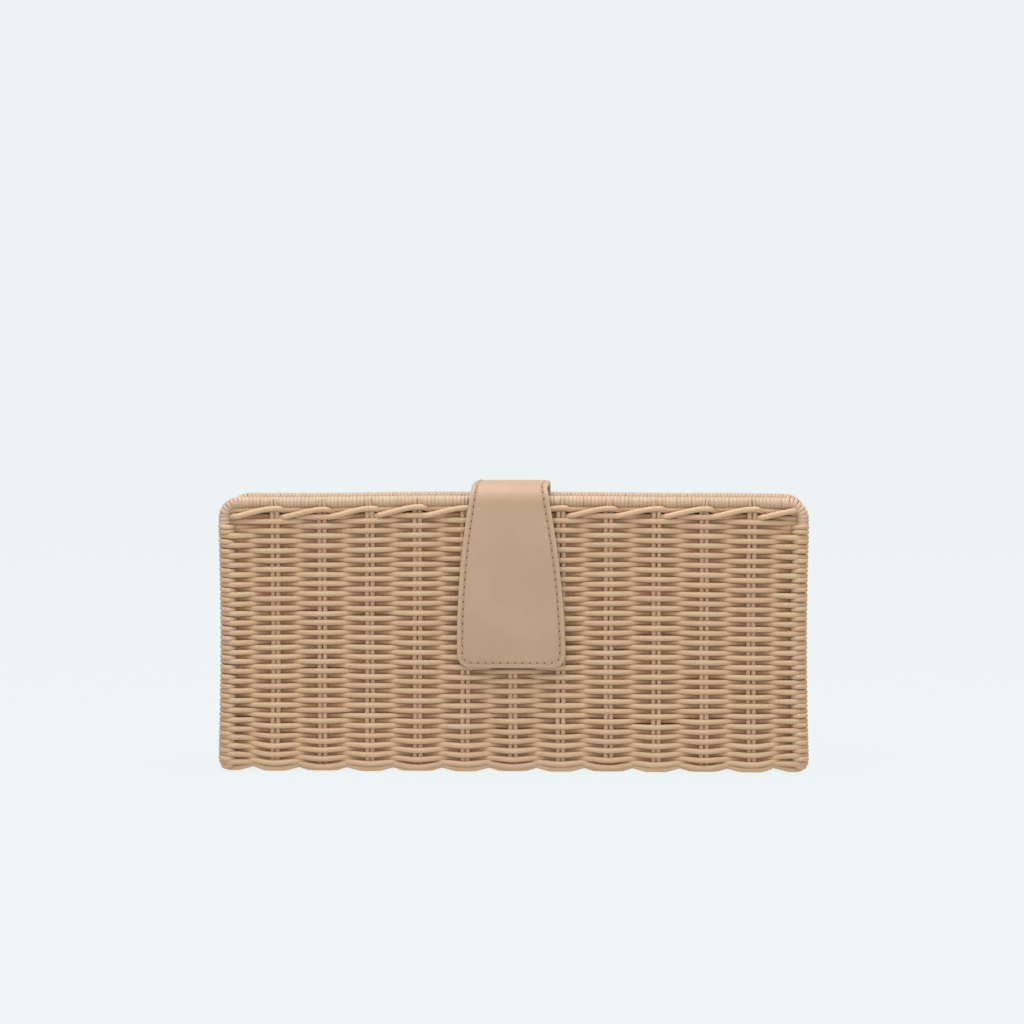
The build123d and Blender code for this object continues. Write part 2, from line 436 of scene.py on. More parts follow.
@dataclass(frozen=True)
class ReedFinish:
    """Peeled reed: pale, long-grained and slightly glossy, with painted shade where a weaver lies inside the wall."""

    name: str
    pale: Colour = (0.51, 0.338, 0.209)
    ruddy: Colour = (0.480, 0.305, 0.185)
    green: Colour = (0.475, 0.328, 0.184)
    # Painted shade: this dark reddish brown stands in for the shade in the gaps where a weaver runs inside the wall.
    recess: Colour = (0.49, 0.235, 0.115)
    grain: Colour = (0.66, 0.52, 0.42)
    fleck: Colour = (0.35, 0.2, 0.12)
    gloss: float = 0.5
    # How much of that painted shade shows where a weaver lies deepest.
    recess_shade_share: float = 0.6

    def make(self) -> bpy.types.Material:
        """Builds the material from the strand, recess and fibre attributes; the recess attribute sets how much painted
        shade is mixed in.
        """
        surface = Surface(self.name, Specular_IOR_Level=0.4)
        bench = surface.bench
        strand, sunk_shade = bench.attribute("strand"), bench.attribute("recess")
        fibre = bench.attribute("fibre", "Vector")
        # Each scale is along the reed, then twice across it, so the noise is long-grained.
        drift = bench.noise(bench.scaled(fibre, (28.0, 60.0, 60.0)))
        grain = bench.noise(bench.scaled(fibre, (90.0, 3200.0, 3200.0)), detail=3.0)
        fleck = bench.noise(bench.scaled(fibre, (420.0, 1500.0, 1500.0)), detail=1.0)
        ruddy = (strand * 0.75 + drift * 0.6 - 0.2).eased(0.25, 0.75)
        green = (drift * 2.3 - strand * 1.1 - 0.1).eased(0.35, 1.0) * 0.4
        colour = bench.blend(ruddy, self.pale, self.ruddy)
        colour = bench.blend(green, colour, self.green)
        colour = bench.blend(grain.eased(0.50, 0.28) * 0.35, colour, self.grain, "MULTIPLY")
        colour = bench.blend(fleck.eased(0.68, 0.76) * 0.45, colour, self.fleck)
        # Painted shade: the weaver is mixed toward the dark recess colour where it lies inside the wall, in place of
        # the shade between the rows.
        colour = bench.blend(sunk_shade * self.recess_shade_share, colour, self.recess)
        rough = self.gloss + grain * 0.16 + sunk_shade * 0.2 - 0.06
        surface.set(Base_Color=colour, Roughness=rough)
        surface.relief(grain * 0.6 + drift * 0.5 + fleck * 0.15, 0.35, 0.0003)
        return surface.material


@dataclass(frozen=True)
class LeatherFinish:
    """Smooth vegetable-tanned leather; its burnished edge is painted lighter, partly its own finish and partly a
    painted highlight.
    """

    name: str
    face: Colour = (0.412, 0.268, 0.168)
    shade: Colour = (0.386, 0.246, 0.151)
    crease: Colour = (0.36, 0.23, 0.145)
    furrow: Colour = (0.36, 0.23, 0.15)
    edge: Colour = (0.50, 0.345, 0.235)
    flesh: Colour = (0.45, 0.32, 0.225)
    seam_inset: float = 0.0027

    def make(self) -> bpy.types.Material:
        """Builds the material from the edge and outer attributes and the object's coordinates."""
        surface = Surface(self.name, Specular_IOR_Level=0.5)
        bench = surface.bench
        place = bench.place()
        border, outer = bench.attribute("edge"), bench.attribute("outer")
        cloud, mottle = bench.noise(place, 34.0, 3.0), bench.noise(place, 240.0, 3.0)
        nap = bench.noise(place, 2600.0)
        cells = {"Vector": place, "Scale": 1500.0, "Randomness": 1.0}
        pores = bench.signal("ShaderNodeTexVoronoi", {"feature": "DISTANCE_TO_EDGE"}, cells)
        creases = pores.eased(0.10, 0.0)
        seat = (border - self.seam_inset) * 1800.0
        groove = (1.0 - seat * seat).eased(0.0, 1.0)
        colour = bench.blend(cloud.eased(0.38, 0.66), self.face, self.shade)
        colour = bench.blend(mottle.eased(0.42, 0.72) * 0.3, colour, self.shade)
        colour = bench.blend(creases * 0.16, colour, self.crease)
        colour = bench.blend(1.0 - outer, colour, self.flesh)
        # Lighter band along the rounded cut edge: partly the burnished edge's own colour, partly a painted highlight
        # for the light that edge catches.
        colour = bench.blend(border.eased(0.0013, 0.0002) * 0.75, colour, self.edge)
        colour = bench.blend(groove * 0.10, colour, self.furrow)
        rough = 0.50 + mottle * 0.12 + (1.0 - outer) * 0.25 - border.eased(0.0012, 0.0) * 0.12
        surface.set(Base_Color=colour, Roughness=rough)
        height = cloud * 0.5 + mottle * 0.25 - creases * 0.30 + nap * 0.14 - groove * 0.8
        surface.relief(height, 0.5, 0.00035)
        return surface.material


@dataclass(frozen=True)
class ClothFinish:
    """Plain-woven cotton with a visible thread."""

    name: str
    warp: Colour = (0.105, 0.052, 0.034)
    weft: Colour = (0.075, 0.036, 0.024)
    pitch: float = 0.00055

    def make(self) -> bpy.types.Material:
        """Builds the material from the cloth's own map."""
        surface = Surface(self.name, Specular_IOR_Level=0.15, Sheen_Weight=0.25)
        bench = surface.bench
        cloth = bench.signal("ShaderNodeUVMap", {"uv_map": "cloth"})
        split = bench.add("ShaderNodeSeparateXYZ", {}, {0: cloth})
        turn = 2.0 * math.pi / self.pitch
        across, along = [(Signal(bench, split.outputs[i]) * turn).sine() for i in (0, 1)]
        weave, slub = across * along, bench.noise(cloth, 700.0)
        colour = bench.blend(weave * 0.5 + slub * 0.6, self.weft, self.warp)
        surface.set(Base_Color=colour, Roughness=0.82 + slub * 0.15)
        surface.relief(weave * 0.6 + slub * 0.4, 0.6, 0.0002)
        return surface.material


@dataclass(frozen=True)
class MetalFinish:
    """Turned or stamped metal with fine wear."""

    name: str
    shine: Colour
    tarnish: Colour

    def make(self) -> bpy.types.Material:
        """Builds the material from the object's coordinates."""
        surface = Surface(self.name, Metallic=1.0)
        bench = surface.bench
        wear, cloud = bench.noise(bench.place(), 900.0), bench.noise(bench.place(), 160.0)
        colour = bench.blend(cloud.eased(0.4, 0.65), self.shine, self.tarnish)
        surface.set(Base_Color=colour, Roughness=0.26 + wear * 0.22)
        surface.relief(wear, 0.2, 0.0001)
        return surface.material


@dataclass(frozen=True)
class ThreadFinish:
    """Waxed sewing thread with a twist along it."""

    name: str
    body: Colour
    twist: Colour
    roughness: float = 0.6

    def make(self) -> bpy.types.Material:
        """Builds the material from the object's coordinates."""
        surface = Surface(self.name, Specular_IOR_Level=0.3)
        bench = surface.bench
        strands = bench.noise(bench.place(), 2400.0)
        colour = bench.blend(strands.eased(0.35, 0.65), self.body, self.twist)
        surface.set(Base_Color=colour, Roughness=self.roughness + strands * 0.2 - 0.1)
        return surface.material


# ---------------------------------------------------------------- paths and repeats


@dataclass
class Strand:
    """One run of reed, cane or thread, as points along its middle.

    Attributes:
        points: Middle line, in metres.
        girth: Thickness at each point, as a share of the whole bundle's.
        recess: How far each point lies behind its neighbours, from 0 to 1, which sets how much painted shade it takes.
        tint: The strand's own number, which varies its colour.
        closed: Whether it joins up with itself.
        lift: Outward direction at each point, where a repeat needs one.
    """

    points: np.ndarray
    girth: Optional[np.ndarray] = None
    recess: Optional[np.ndarray] = None
    tint: float = 0.5
    closed: bool = False
    lift: Optional[np.ndarray] = None


def path_object(name: str, strands: Sequence[Strand]) -> bpy.types.Object:
    """Makes an object of bare edges that follow the strands, with their numbers stored."""
    places, edges, girth, recess, tint, lift = [], [], [], [], [], []
    for strand in strands:
        start, count = len(places), len(strand.points)
        places.extend(map(tuple, strand.points))
        edges.extend((start + i, start + i + 1) for i in range(count - 1))
        if strand.closed:
            edges.append((start + count - 1, start))
        girth.extend(np.ones(count) if strand.girth is None else strand.girth)
        recess.extend(np.zeros(count) if strand.recess is None else strand.recess)
        tint.extend([strand.tint] * count)
        lift.extend(np.tile((0.0, 0.0, 1.0), (count, 1)) if strand.lift is None else strand.lift)
    mesh = bpy.data.meshes.new(name)
    mesh.from_pydata(places, edges, [])
    for label, values in (("girth", girth), ("recess", recess), ("strand", tint), ("lift", lift)):
        store(mesh, label, values)
    return link(name, mesh)


class Recipe:
    """A Geometry Nodes tree with named inputs, applied to an object and turned into a mesh."""

    def __init__(self, name: str, **kinds: str) -> None:
        """Starts a tree that takes and gives geometry and takes the named inputs."""
        self.tree = bpy.data.node_groups.new(name, "GeometryNodeTree")
        self.bench = Bench(self.tree)
        self.socket("Geometry", "Geometry", "OUTPUT")
        self.socket("Geometry", "Geometry")
        self.keys = {label: self.socket(label, kind) for label, kind in kinds.items()}
        outputs = self.bench.add("NodeGroupInput").outputs
        self.entry = {label: Signal(self.bench, outputs[label]) for label in ("Geometry", *kinds)}

    def socket(self, label: str, kind: str, way: str = "INPUT") -> str:
        """Adds a socket to the tree and returns its identifier."""
        kind = f"NodeSocket{kind}"
        return self.tree.interface.new_socket(label, in_out=way, socket_type=kind).identifier

    def store(
        self,
        geometry: Signal,
        name: str,
        value: Signal,
        kind: str = "FLOAT",
        domain: str = "POINT",
    ) -> Signal:
        """Keeps a value with each point or instance."""
        settings = {"data_type": kind, "domain": domain}
        inputs = {"Geometry": geometry, "Name": name, "Value": value}
        return self.bench.signal("GeometryNodeStoreNamedAttribute", settings, inputs)

    def read(self, name: str, kind: str = "FLOAT") -> Signal:
        """Reads a stored value."""
        return self.bench.signal(
            "GeometryNodeInputNamedAttribute", {"data_type": kind}, {"Name": name}
        )

    def finish(self, geometry: Signal) -> None:
        """Ends the tree in Realize Instances and Set Material."""
        real = self.bench.signal("GeometryNodeRealizeInstances", {}, {0: geometry})
        inputs = {"Geometry": real, "Material": self.entry["Material"]}
        dressed = self.bench.signal("GeometryNodeSetMaterial", {}, inputs)
        smoothed = self.bench.signal("GeometryNodeSetShadeSmooth", {}, {0: dressed})
        self.bench.add("NodeGroupOutput", {}, {0: smoothed})

    def make(self, source: bpy.types.Object, name: str, **values: object) -> bpy.types.Object:
        """Runs the tree on an object and keeps the result as a plain mesh.

        Args:
            source: The object that the tree works on; it is used up.
            name: The finished piece's name.
            values: One value for each named input.

        Returns:
            The finished piece.
        """
        modifier = source.modifiers.new(name, "NODES")
        modifier.node_group = self.tree
        for label, value in values.items():
            modifier[self.keys[label]] = value
        bpy.context.view_layer.update()
        mesh = evaluated(source)
        bpy.data.objects.remove(source)
        mesh.name = name
        return link(name, mesh)


def sweep_recipe(upright: bool) -> Recipe:
    """Builds the tree that gives every path a round or oval body.

    Args:
        upright: Whether the body's height stays upright all along the path.

    Returns:
        The recipe, with the half width, half height, sides and material as inputs.
    """
    name = "reed_sweep_upright" if upright else "reed_sweep"
    recipe = Recipe(name, Wide="Float", Tall="Float", Sides="Int", Material="Material")
    entry, add = recipe.entry, recipe.bench.signal
    curve = add("GeometryNodeMeshToCurve", {}, {0: entry["Geometry"]})
    mode = {"mode": "Z_UP" if upright else "MINIMUM_TWIST"}
    turned = add("GeometryNodeSetCurveNormal", mode, {0: curve})
    run = add("GeometryNodeSplineParameter", output="Length")
    circle = add("GeometryNodeCurvePrimitiveCircle", {}, {0: entry["Sides"], 4: 1.0})
    size = add("ShaderNodeCombineXYZ", {}, {0: entry["Wide"], 1: entry["Tall"]})
    place = add("GeometryNodeInputPosition")
    squashed = recipe.bench.scaled(place, size)
    oval = add("GeometryNodeSetPosition", {}, {"Geometry": circle, "Position": squashed})
    inputs = {
        "Curve": recipe.store(turned, "run", run),
        "Profile Curve": recipe.store(oval, "section", place, "FLOAT_VECTOR"),
        "Scale": recipe.read("girth"),
        "Fill Caps": True,
    }
    body = add("GeometryNodeCurveToMesh", {}, inputs)
    tint = recipe.read("strand")
    start = {0: recipe.read("run"), 1: tint * 0.91, 2: tint * 0.37}
    ends = {0: recipe.read("section", "FLOAT_VECTOR"), 1: add("ShaderNodeCombineXYZ", {}, start)}
    fibre = add("ShaderNodeVectorMath", {"operation": "ADD"}, ends)
    recipe.finish(recipe.store(body, "fibre", fibre, "FLOAT_VECTOR"))
    return recipe


def repeat_recipe() -> Recipe:
    """Builds the tree that sets one item again and again along a path.

    Returns:
        The recipe, with the item, spacing, tilt, jitter, slide, seed and material as inputs.
    """
    numbers = {label: "Float" for label in ("Spacing", "Tilt", "Jitter", "Slide")}
    recipe = Recipe("repeat_along_path", Item="Object", **numbers, Seed="Int", Material="Material")
    entry, add = recipe.entry, recipe.bench.signal
    jitter = entry["Jitter"]

    def chance(low: object, high: object, salt: int) -> Signal:
        """A random number between two limits, from the seed."""
        inputs = {2: low, 3: high, 8: entry["Seed"] + salt}
        return add("FunctionNodeRandomValue", {"data_type": "FLOAT"}, inputs, 1)

    def shaken(share: float, salt: int) -> Signal:
        """A random number up to a share of the jitter, either way."""
        return chance(jitter * -share, jitter * share, salt)

    curve = add("GeometryNodeMeshToCurve", {}, {0: entry["Geometry"]})
    spaced = {0: curve, 3: entry["Spacing"]}
    paced = add("GeometryNodeResampleCurve", {"mode": "LENGTH"}, spaced)
    along = add("GeometryNodeInputTangent")
    axes = {"primary_axis": "Z", "secondary_axis": "X"}
    outward = recipe.read("lift", "FLOAT_VECTOR")
    facing = add("FunctionNodeAxesToRotation", axes, {0: outward, 1: along})
    angles = {0: shaken(0.6, 1), 1: shaken(1.0, 2), 2: entry["Tilt"]}
    lean = add("FunctionNodeEulerToRotation", {}, {0: add("ShaderNodeCombineXYZ", {}, angles)})
    turned = add("FunctionNodeRotateRotation", {"rotation_space": "LOCAL"}, {0: facing, 1: lean})
    step = {0: along, "Scale": entry["Slide"] + shaken(0.0008, 4)}
    nudge = add("ShaderNodeVectorMath", {"operation": "SCALE"}, step)
    inputs = {
        "Points": add("GeometryNodeSetPosition", {}, {"Geometry": paced, "Offset": nudge}),
        "Instance": add("GeometryNodeObjectInfo", {}, {0: entry["Item"]}, "Geometry"),
        "Rotation": turned,
        "Scale": 1.0 + shaken(0.22, 3),
    }
    placed = add("GeometryNodeInstanceOnPoints", {}, inputs)
    recipe.finish(recipe.store(placed, "strand", chance(0.0, 1.0, 5), domain="INSTANCE"))
    return recipe


# ---------------------------------------------------------------- the basket


class Wall(Enum):
    """What a weaver meets on its way round the basket."""

    POST = "post"
    PAIR = "pair"
    END_PAIR = "end pair"


@dataclass
class Basket:
    """The woven walls and base, on stakes and corner posts.

    Sizes are in metres. The weave's middle surface is a box with rounded upright corners, and a
    weaver lies outside or inside it at each stake.
    """

    width: float = 0.290
    depth: float = 0.060
    wall: float = 0.0068
    stake_radius: float = 0.0011
    stake_body: float = 0.00128
    stake_apart: float = 0.00130
    stake_top: float = 0.1275
    end_stake_top: float = 0.1235
    end_stake_tail: float = 0.012
    post_radius: float = 0.0019
    post_reach: float = 0.0026
    post_wrap: float = 0.0004
    reed_half_width: float = 0.00112
    reed_half_height: float = 0.00146
    full_swing: float = 0.00225
    turn_half: tuple[float, float] = (0.00105, 0.00122)
    base_half: tuple[float, float] = (0.00125, 0.00112)
    sag: float = 0.0026
    sag_from: float = 0.034
    wander: float = 0.00013
    uneven: float = 0.02
    row_pitch: float = 0.00238
    pairs: int = 11
    corner_radius: float = 0.0045
    bend_radius: float = 0.0030
    wall_top: float = 0.1285
    shoulder: float = 0.1205
    waist_height: float = 0.066
    end_row_half: float = 0.023
    foot_row_level: float = 0.0023
    post_x: float = 0.14028
    post_y: float = 0.02528
    samples: int = 10
    seed: int = 11
    chance: np.random.Generator = field(init=False)

    def __post_init__(self) -> None:
        """Starts the basket's own chance numbers."""
        self.chance = np.random.default_rng(self.seed)

    @property
    def half_x(self) -> float:
        """Half the middle surface's width."""
        return self.width / 2 - self.wall / 2

    @property
    def half_y(self) -> float:
        """Half the middle surface's depth."""
        return self.depth / 2 - self.wall / 2

    @property
    def columns(self) -> np.ndarray:
        """Where the stake pairs stand along the front."""
        pitch = 2 * self.post_x / (self.pairs + 1)
        return -self.post_x + pitch * np.arange(1, self.pairs + 1)

    def settle(self, points: np.ndarray) -> np.ndarray:
        """Gives true points the slight waist, crown and waver of a hand-made basket.

        Args:
            points: Points of an exact basket.

        Returns:
            The same points as they lie in this one.
        """
        x, y, z = np.asarray(points, float).T
        waist = np.sin(np.pi * np.clip((z - 0.004) / 0.126, 0, 1))
        out_x = x - np.sign(x) * smooth(np.abs(x), 0.09, 0.142) * waist * 0.0011
        crown = 0.0011 * (1 - (x / 0.14) ** 2) - 0.0006
        wave = 0.00022 * np.sin(x * 61.0 + 0.7) * np.sin(z * 47.0 + x * 11.0)
        out_z = z + crown * smooth(z, 0.05, 0.134) + wave * smooth(z, 0.006, 0.02)
        out_y = y + 0.00035 * np.sin(x * 38.0 + z * 29.0) * np.sign(y) * smooth(z, 0.008, 0.03)
        return np.stack([out_x, out_y, out_z], axis=1)

    def grounded(self, points: np.ndarray) -> np.ndarray:
        """Settles points and keeps a reed along them above the ground."""
        points = self.settle(points)
        points[:, 2] = np.maximum(points[:, 2], self.reed_half_height)
        return points

    def ring(self, inset: float) -> tuple[np.ndarray, np.ndarray, list[Wall]]:
        """Works out one closed way round the basket, from the front left post.

        Args:
            inset: How far the way lies inside the middle surface.

        Returns:
            A table of distance, place and outward direction all round; the distance of each
            support and, last, of the whole way; and what each support is.
        """
        half_x, half_y = self.half_x - inset, self.half_y - inset
        radius = max(self.corner_radius - inset, 0.0012)
        arcs = (
            (-1, -1, 225, 270),
            (1, -1, 270, 360),
            (1, 1, 0, 90),
            (-1, 1, 90, 180),
            (-1, -1, 180, 225),
        )
        places, outs = [], []
        for sign_x, sign_y, first, last in arcs:
            centre = np.array([sign_x * (half_x - radius), sign_y * (half_y - radius)])
            for angle in np.radians(np.linspace(first, last, 13)):
                outs.append(np.array([math.cos(angle), math.sin(angle)]))
                places.append(centre + outs[-1] * radius)
        place = np.array(places)
        run = np.concatenate([[0], np.cumsum(np.linalg.norm(np.diff(place, axis=0), axis=1))])
        eighth = radius * math.pi / 4
        front, side = 2 * (half_x - radius), 2 * (half_y - radius)
        supports, kinds = [], []
        for start in (0.0, 4 * eighth + front + side):
            post = start + 2 * eighth + front
            pairs = start + eighth + self.columns + half_x - radius
            supports += [start, *pairs, post, post + eighth + side / 2]
            kinds += [Wall.POST] + [Wall.PAIR] * self.pairs + [Wall.POST, Wall.END_PAIR]
        table = np.column_stack([run, place, np.array(outs)])
        return table, np.array([*supports, run[-1]]), kinds

    def reach(self, kind: Wall) -> float:
        """How far a weaver's middle stands off the middle surface at a support."""
        return self.post_reach if kind is Wall.POST else self.stake_radius + self.reed_half_width

    def sides(self, row: int, count: int) -> np.ndarray:
        """Whether a row passes outside (1) or inside (-1) each support."""
        return np.where((row + np.arange(count)) % 2, 1.0, -1.0)

    def paces(self, legs: int) -> tuple[np.ndarray, np.ndarray, np.ndarray]:
        """Samples a way with so many legs.

        Args:
            legs: How many stretches the way has between supports.

        Returns:
            Each sample's leg, its share of that leg, and how far it has crossed over.
        """
        share = np.tile(np.arange(self.samples) / self.samples, legs)
        return np.repeat(np.arange(legs), self.samples), share, smooth(share, 0.05, 0.95)

    def swerve(self, stops: np.ndarray, values: np.ndarray) -> tuple[np.ndarray, np.ndarray]:
        """Goes from stop to stop and eases from one value to the next.

        Args:
            stops: Distance of each stop.
            values: The value at each stop.

        Returns:
            Distances all along, and the value at each.
        """
        leg, share, eased = self.paces(len(stops) - 1)
        run = stops[leg] + (stops[leg + 1] - stops[leg]) * share
        offset = values[leg] + (values[leg + 1] - values[leg]) * eased
        return np.append(run, stops[-1]), np.append(offset, values[-1])

    def stops(self, row: int, end: float, tuck: float) -> tuple[np.ndarray, np.ndarray]:
        """Says where a straight weaver turns, and on which side of the wall.

        Args:
            row: The row's number.
            end: Half the weaver's length.
            tuck: How far in its two ends lie, as a share of a full pass.

        Returns:
            The place of each stop, and the side there.
        """
        places = np.concatenate([[-end], self.columns, [end]])
        signs = self.sides(row, len(places))
        signs[0] = signs[-1] = -tuck
        return places, signs

    def body(self, offset: np.ndarray) -> tuple[np.ndarray, np.ndarray]:
        """Gives a weaver's girth, and its share of painted shade, where it lies outside or inside the wall."""
        outside = offset / self.full_swing
        return 0.93 + 0.08 * np.clip(outside, -1, 1) ** 2, smooth(-outside, -0.35, 0.9)

    def tint(self) -> float:
        """Draws a strand's own number."""
        return float(self.chance.random())

    def round_row(self, row: int, level: float, inset: float, tip: float) -> Strand:
        """Makes one weaver that goes all the way round.

        Args:
            row: The row's number; odd and even rows take opposite sides.
            level: Its height.
            inset: How far it has moved in under the basket.
            tip: How far the surface has turned under, in radians.

        Returns:
            The closed strand.
        """
        table, ends, kinds = self.ring(inset)
        count = len(kinds)
        reaches = self.sides(row, count) * np.array([self.reach(kind) for kind in kinds])
        drift = self.chance.normal(0, self.wander, count)
        sag = self.sag * float(smooth(np.array(self.sag_from - level), 0.0, 0.030))
        run, offset = (v[:-1] for v in self.swerve(ends, np.append(reaches, reaches[0])))
        leg, share, eased = self.paces(count)
        dips = np.array([sag if kind is Wall.PAIR else 0.0 for kind in kinds])
        after = (leg + 1) % count
        quarter = share * math.pi / 2
        dip = dips[leg] * np.cos(quarter) ** 3 + dips[after] * np.sin(quarter) ** 3
        drop = drift[leg] * (1 - eased) + drift[after] * eased - dip
        columns = [np.interp(run, table[:, 0], table[:, i]) for i in (1, 2, 3, 4)]
        place, out = np.column_stack(columns[:2]), np.column_stack(columns[2:])
        out /= np.linalg.norm(out, axis=1)[:, None]
        plan = place + out * (offset * math.cos(tip))[:, None]
        height = level - offset * math.sin(tip) + drop * math.cos(tip)
        points = self.grounded(np.column_stack([plan, height]))
        girth, recess = self.body(offset)
        start = -int(self.chance.integers(0, count)) * self.samples
        return Strand(
            np.roll(points, start, axis=0),
            girth=np.roll(girth, start) * self.chance.normal(1.0, self.uneven),
            recess=np.roll(recess, start),
            tint=self.tint(),
            closed=True,
        )

    def straight_row(self, row: int, level: float, front: bool, swing: float = 1.0) -> Strand:
        """Makes one weaver that crosses the front or back only, between the corner posts.

        Args:
            row: The row's number; odd and even rows take opposite sides.
            level: Its height.
            front: Whether it crosses the front.
            swing: How far it passes in and out, as a share of a full pass.

        Returns:
            The strand.
        """
        side = -1.0 if front else 1.0
        stops, signs = self.stops(row, self.post_x - 0.0004, 0.8)
        xs, offset = self.swerve(stops, signs)
        offset = offset * self.reach(Wall.PAIR) * swing
        lift = -0.0005 * smooth(np.abs(xs), 0.115, 0.139)
        drift = np.interp(xs, stops, self.chance.normal(0, 0.00014, len(stops)))
        points = np.column_stack([xs, side * (self.half_y + offset), level + lift + drift])
        girth, recess = self.body(offset)
        return Strand(
            self.settle(points),
            girth=girth * self.chance.normal(1.0, self.uneven),
            # Painted shade: less of it near the posts, where the row turns round them.
            recess=recess * (1.0 - 0.8 * smooth(np.abs(xs), 0.124, 0.137)),
            tint=self.tint(),
        )

    def rows(self) -> tuple[list[Strand], list[Strand], list[Strand]]:
        """Lays every row of the walls and the bend.

        Returns:
            The upper rows, the lower rows, and the extra turns that cover the posts.
        """
        upper, lower, turns = [], [], []
        base = self.bend_radius + self.wall / 2
        level, row = base, 0
        while level < self.wall_top - 0.0010:
            if level > self.shoulder - 0.0008:
                upper += [self.straight_row(row, level, front) for front in (True, False)]
                if level < self.shoulder + 0.0020:
                    turns += self.post_turns(row, level) + self.post_turns(row + 1, level)
            else:
                bundle = upper if level > self.waist_height else lower
                bundle.append(self.round_row(row, level, 0.0, 0.0))
                turns += self.post_turns(row, level)
            crowding = 0.15 * float(smooth(np.array(0.026 - level), 0.0, 0.012))
            level, row = level + self.row_pitch * (1 - crowding), row + 1
        for front in (True, False):
            upper.append(self.straight_row(row, self.wall_top - 0.0001, front, 0.3))
        ys = np.linspace(-self.end_row_half, self.end_row_half, 24)
        droop = 0.0004 * (1 - (ys / self.end_row_half) ** 2)
        for side in (-1.0, 1.0):
            for bundle, out, level in (
                (upper, 0.0004, self.shoulder + 0.0008 - droop),
                (lower, -0.0024, np.full(24, self.foot_row_level)),
            ):
                points = np.column_stack([np.full(24, side * (self.half_x + out)), ys, level])
                points = self.settle(points) if bundle is upper else points
                bundle.append(Strand(points, tint=self.tint()))
        for step, tip in enumerate((20.0, 42.0, 64.0, 86.0)):
            angle = math.radians(tip)
            level = base - self.bend_radius * math.sin(angle)
            inset = self.bend_radius * (1 - math.cos(angle))
            lower.append(self.round_row(-1 - step, level, inset, angle))
            turns += self.post_turns(-1 - step, level, inset, angle)
        return upper, lower, turns

    def post_turns(
        self, row: int, level: float, inset: float = 0.0, tip: float = 0.0
    ) -> list[Strand]:
        """Wraps the posts that this row passes behind, so that none shows bare.

        Args:
            row: The row's number.
            level: Its height.
            inset: How far it has moved in under the basket.
            tip: How far the surface has turned under, in radians.

        Returns:
            One closed turn for each post that the row passes behind.
        """
        made = []
        radius = self.post_radius + self.reed_half_width + self.post_wrap
        angle = np.linspace(0, 2 * math.pi, 14, endpoint=False)
        circle = radius * np.column_stack([np.cos(angle), np.sin(angle)])
        for support, sign_x, sign_y in ((0, -1, -1), (12, 1, -1), (14, 1, 1), (26, -1, 1)):
            if (row + support) % 2:
                continue
            away = np.array([sign_x, sign_y]) * math.sqrt(0.5)
            centre = np.array([sign_x * self.post_x, sign_y * self.post_y])
            centre = centre + away * (0.00042 - inset * 1.2)
            outward = circle @ away
            ring = circle - outward[:, None] * (1 - math.cos(tip)) * away
            heights = level - outward * math.sin(tip) + 0.0004 * np.cos(angle + 1.0) * sign_x
            points = self.grounded(np.column_stack([centre + ring, heights]))
            made.append(Strand(points, girth=np.full(14, 1.02), tint=self.tint(), closed=True))
        return made

    def base_rows(self) -> list[Strand]:
        """Lays the straight rows that cross under the basket from end to end."""
        reach_y = self.half_y - self.bend_radius - 0.0004
        count = int(2 * reach_y / self.row_pitch)
        made = []
        for row in range(count + 1):
            across = -reach_y + 2 * reach_y * row / count
            stops, signs = self.stops(row, self.half_x - 0.0035, 0.9)
            xs, offset = self.swerve(stops, signs)
            offset = offset * self.reach(Wall.PAIR)
            drift = np.interp(xs, stops, self.chance.normal(0, 0.00012, len(stops)))
            points = np.column_stack([xs, across + drift, self.wall / 2 - offset])
            made.append(Strand(points, *self.body(offset), tint=self.tint()))
        return made

    def stakes(self) -> list[Strand]:
        """Bends every stake down a wall and under the base; the long walls' come up again."""
        made = []
        turn = np.radians(np.linspace(0, 90, 7))
        radius, low = self.bend_radius, self.wall / 2

        def down(half: float, heights: np.ndarray) -> list[tuple[float, float]]:
            """The distance out and the height of each point down a wall and round the bend."""
            bend = [
                (half - radius * (1 - math.cos(a)), low + radius * (1 - math.sin(a))) for a in turn
            ]
            return [(half, z) for z in heights] + bend

        side_run = down(self.half_y, np.linspace(self.stake_top, low + radius + 0.001, 24))
        for column in self.columns:
            for offset in (-1, 1):
                x = column + offset * self.stake_apart
                half = np.array([(x, -out, z) for out, z in side_run])
                points = self.settle(np.vstack([half, half[::-1] * np.array([1.0, -1.0, 1.0])]))
                points[:, 0] += 0.00012 * np.sin(points[:, 2] * 90 + column * 400 + offset)
                made.append(Strand(points, tint=self.tint()))
        end_run = down(self.half_x, np.linspace(self.end_stake_top, low + radius, 24))
        end_run.append((self.half_x - self.end_stake_tail, low))
        for side in (-1, 1):
            for offset in (-1, 1):
                run = [(side * out, offset * self.stake_apart, z) for out, z in end_run]
                made.append(Strand(self.settle(np.array(run)), tint=self.tint()))
        return made


# ---------------------------------------------------------------- frames and rims


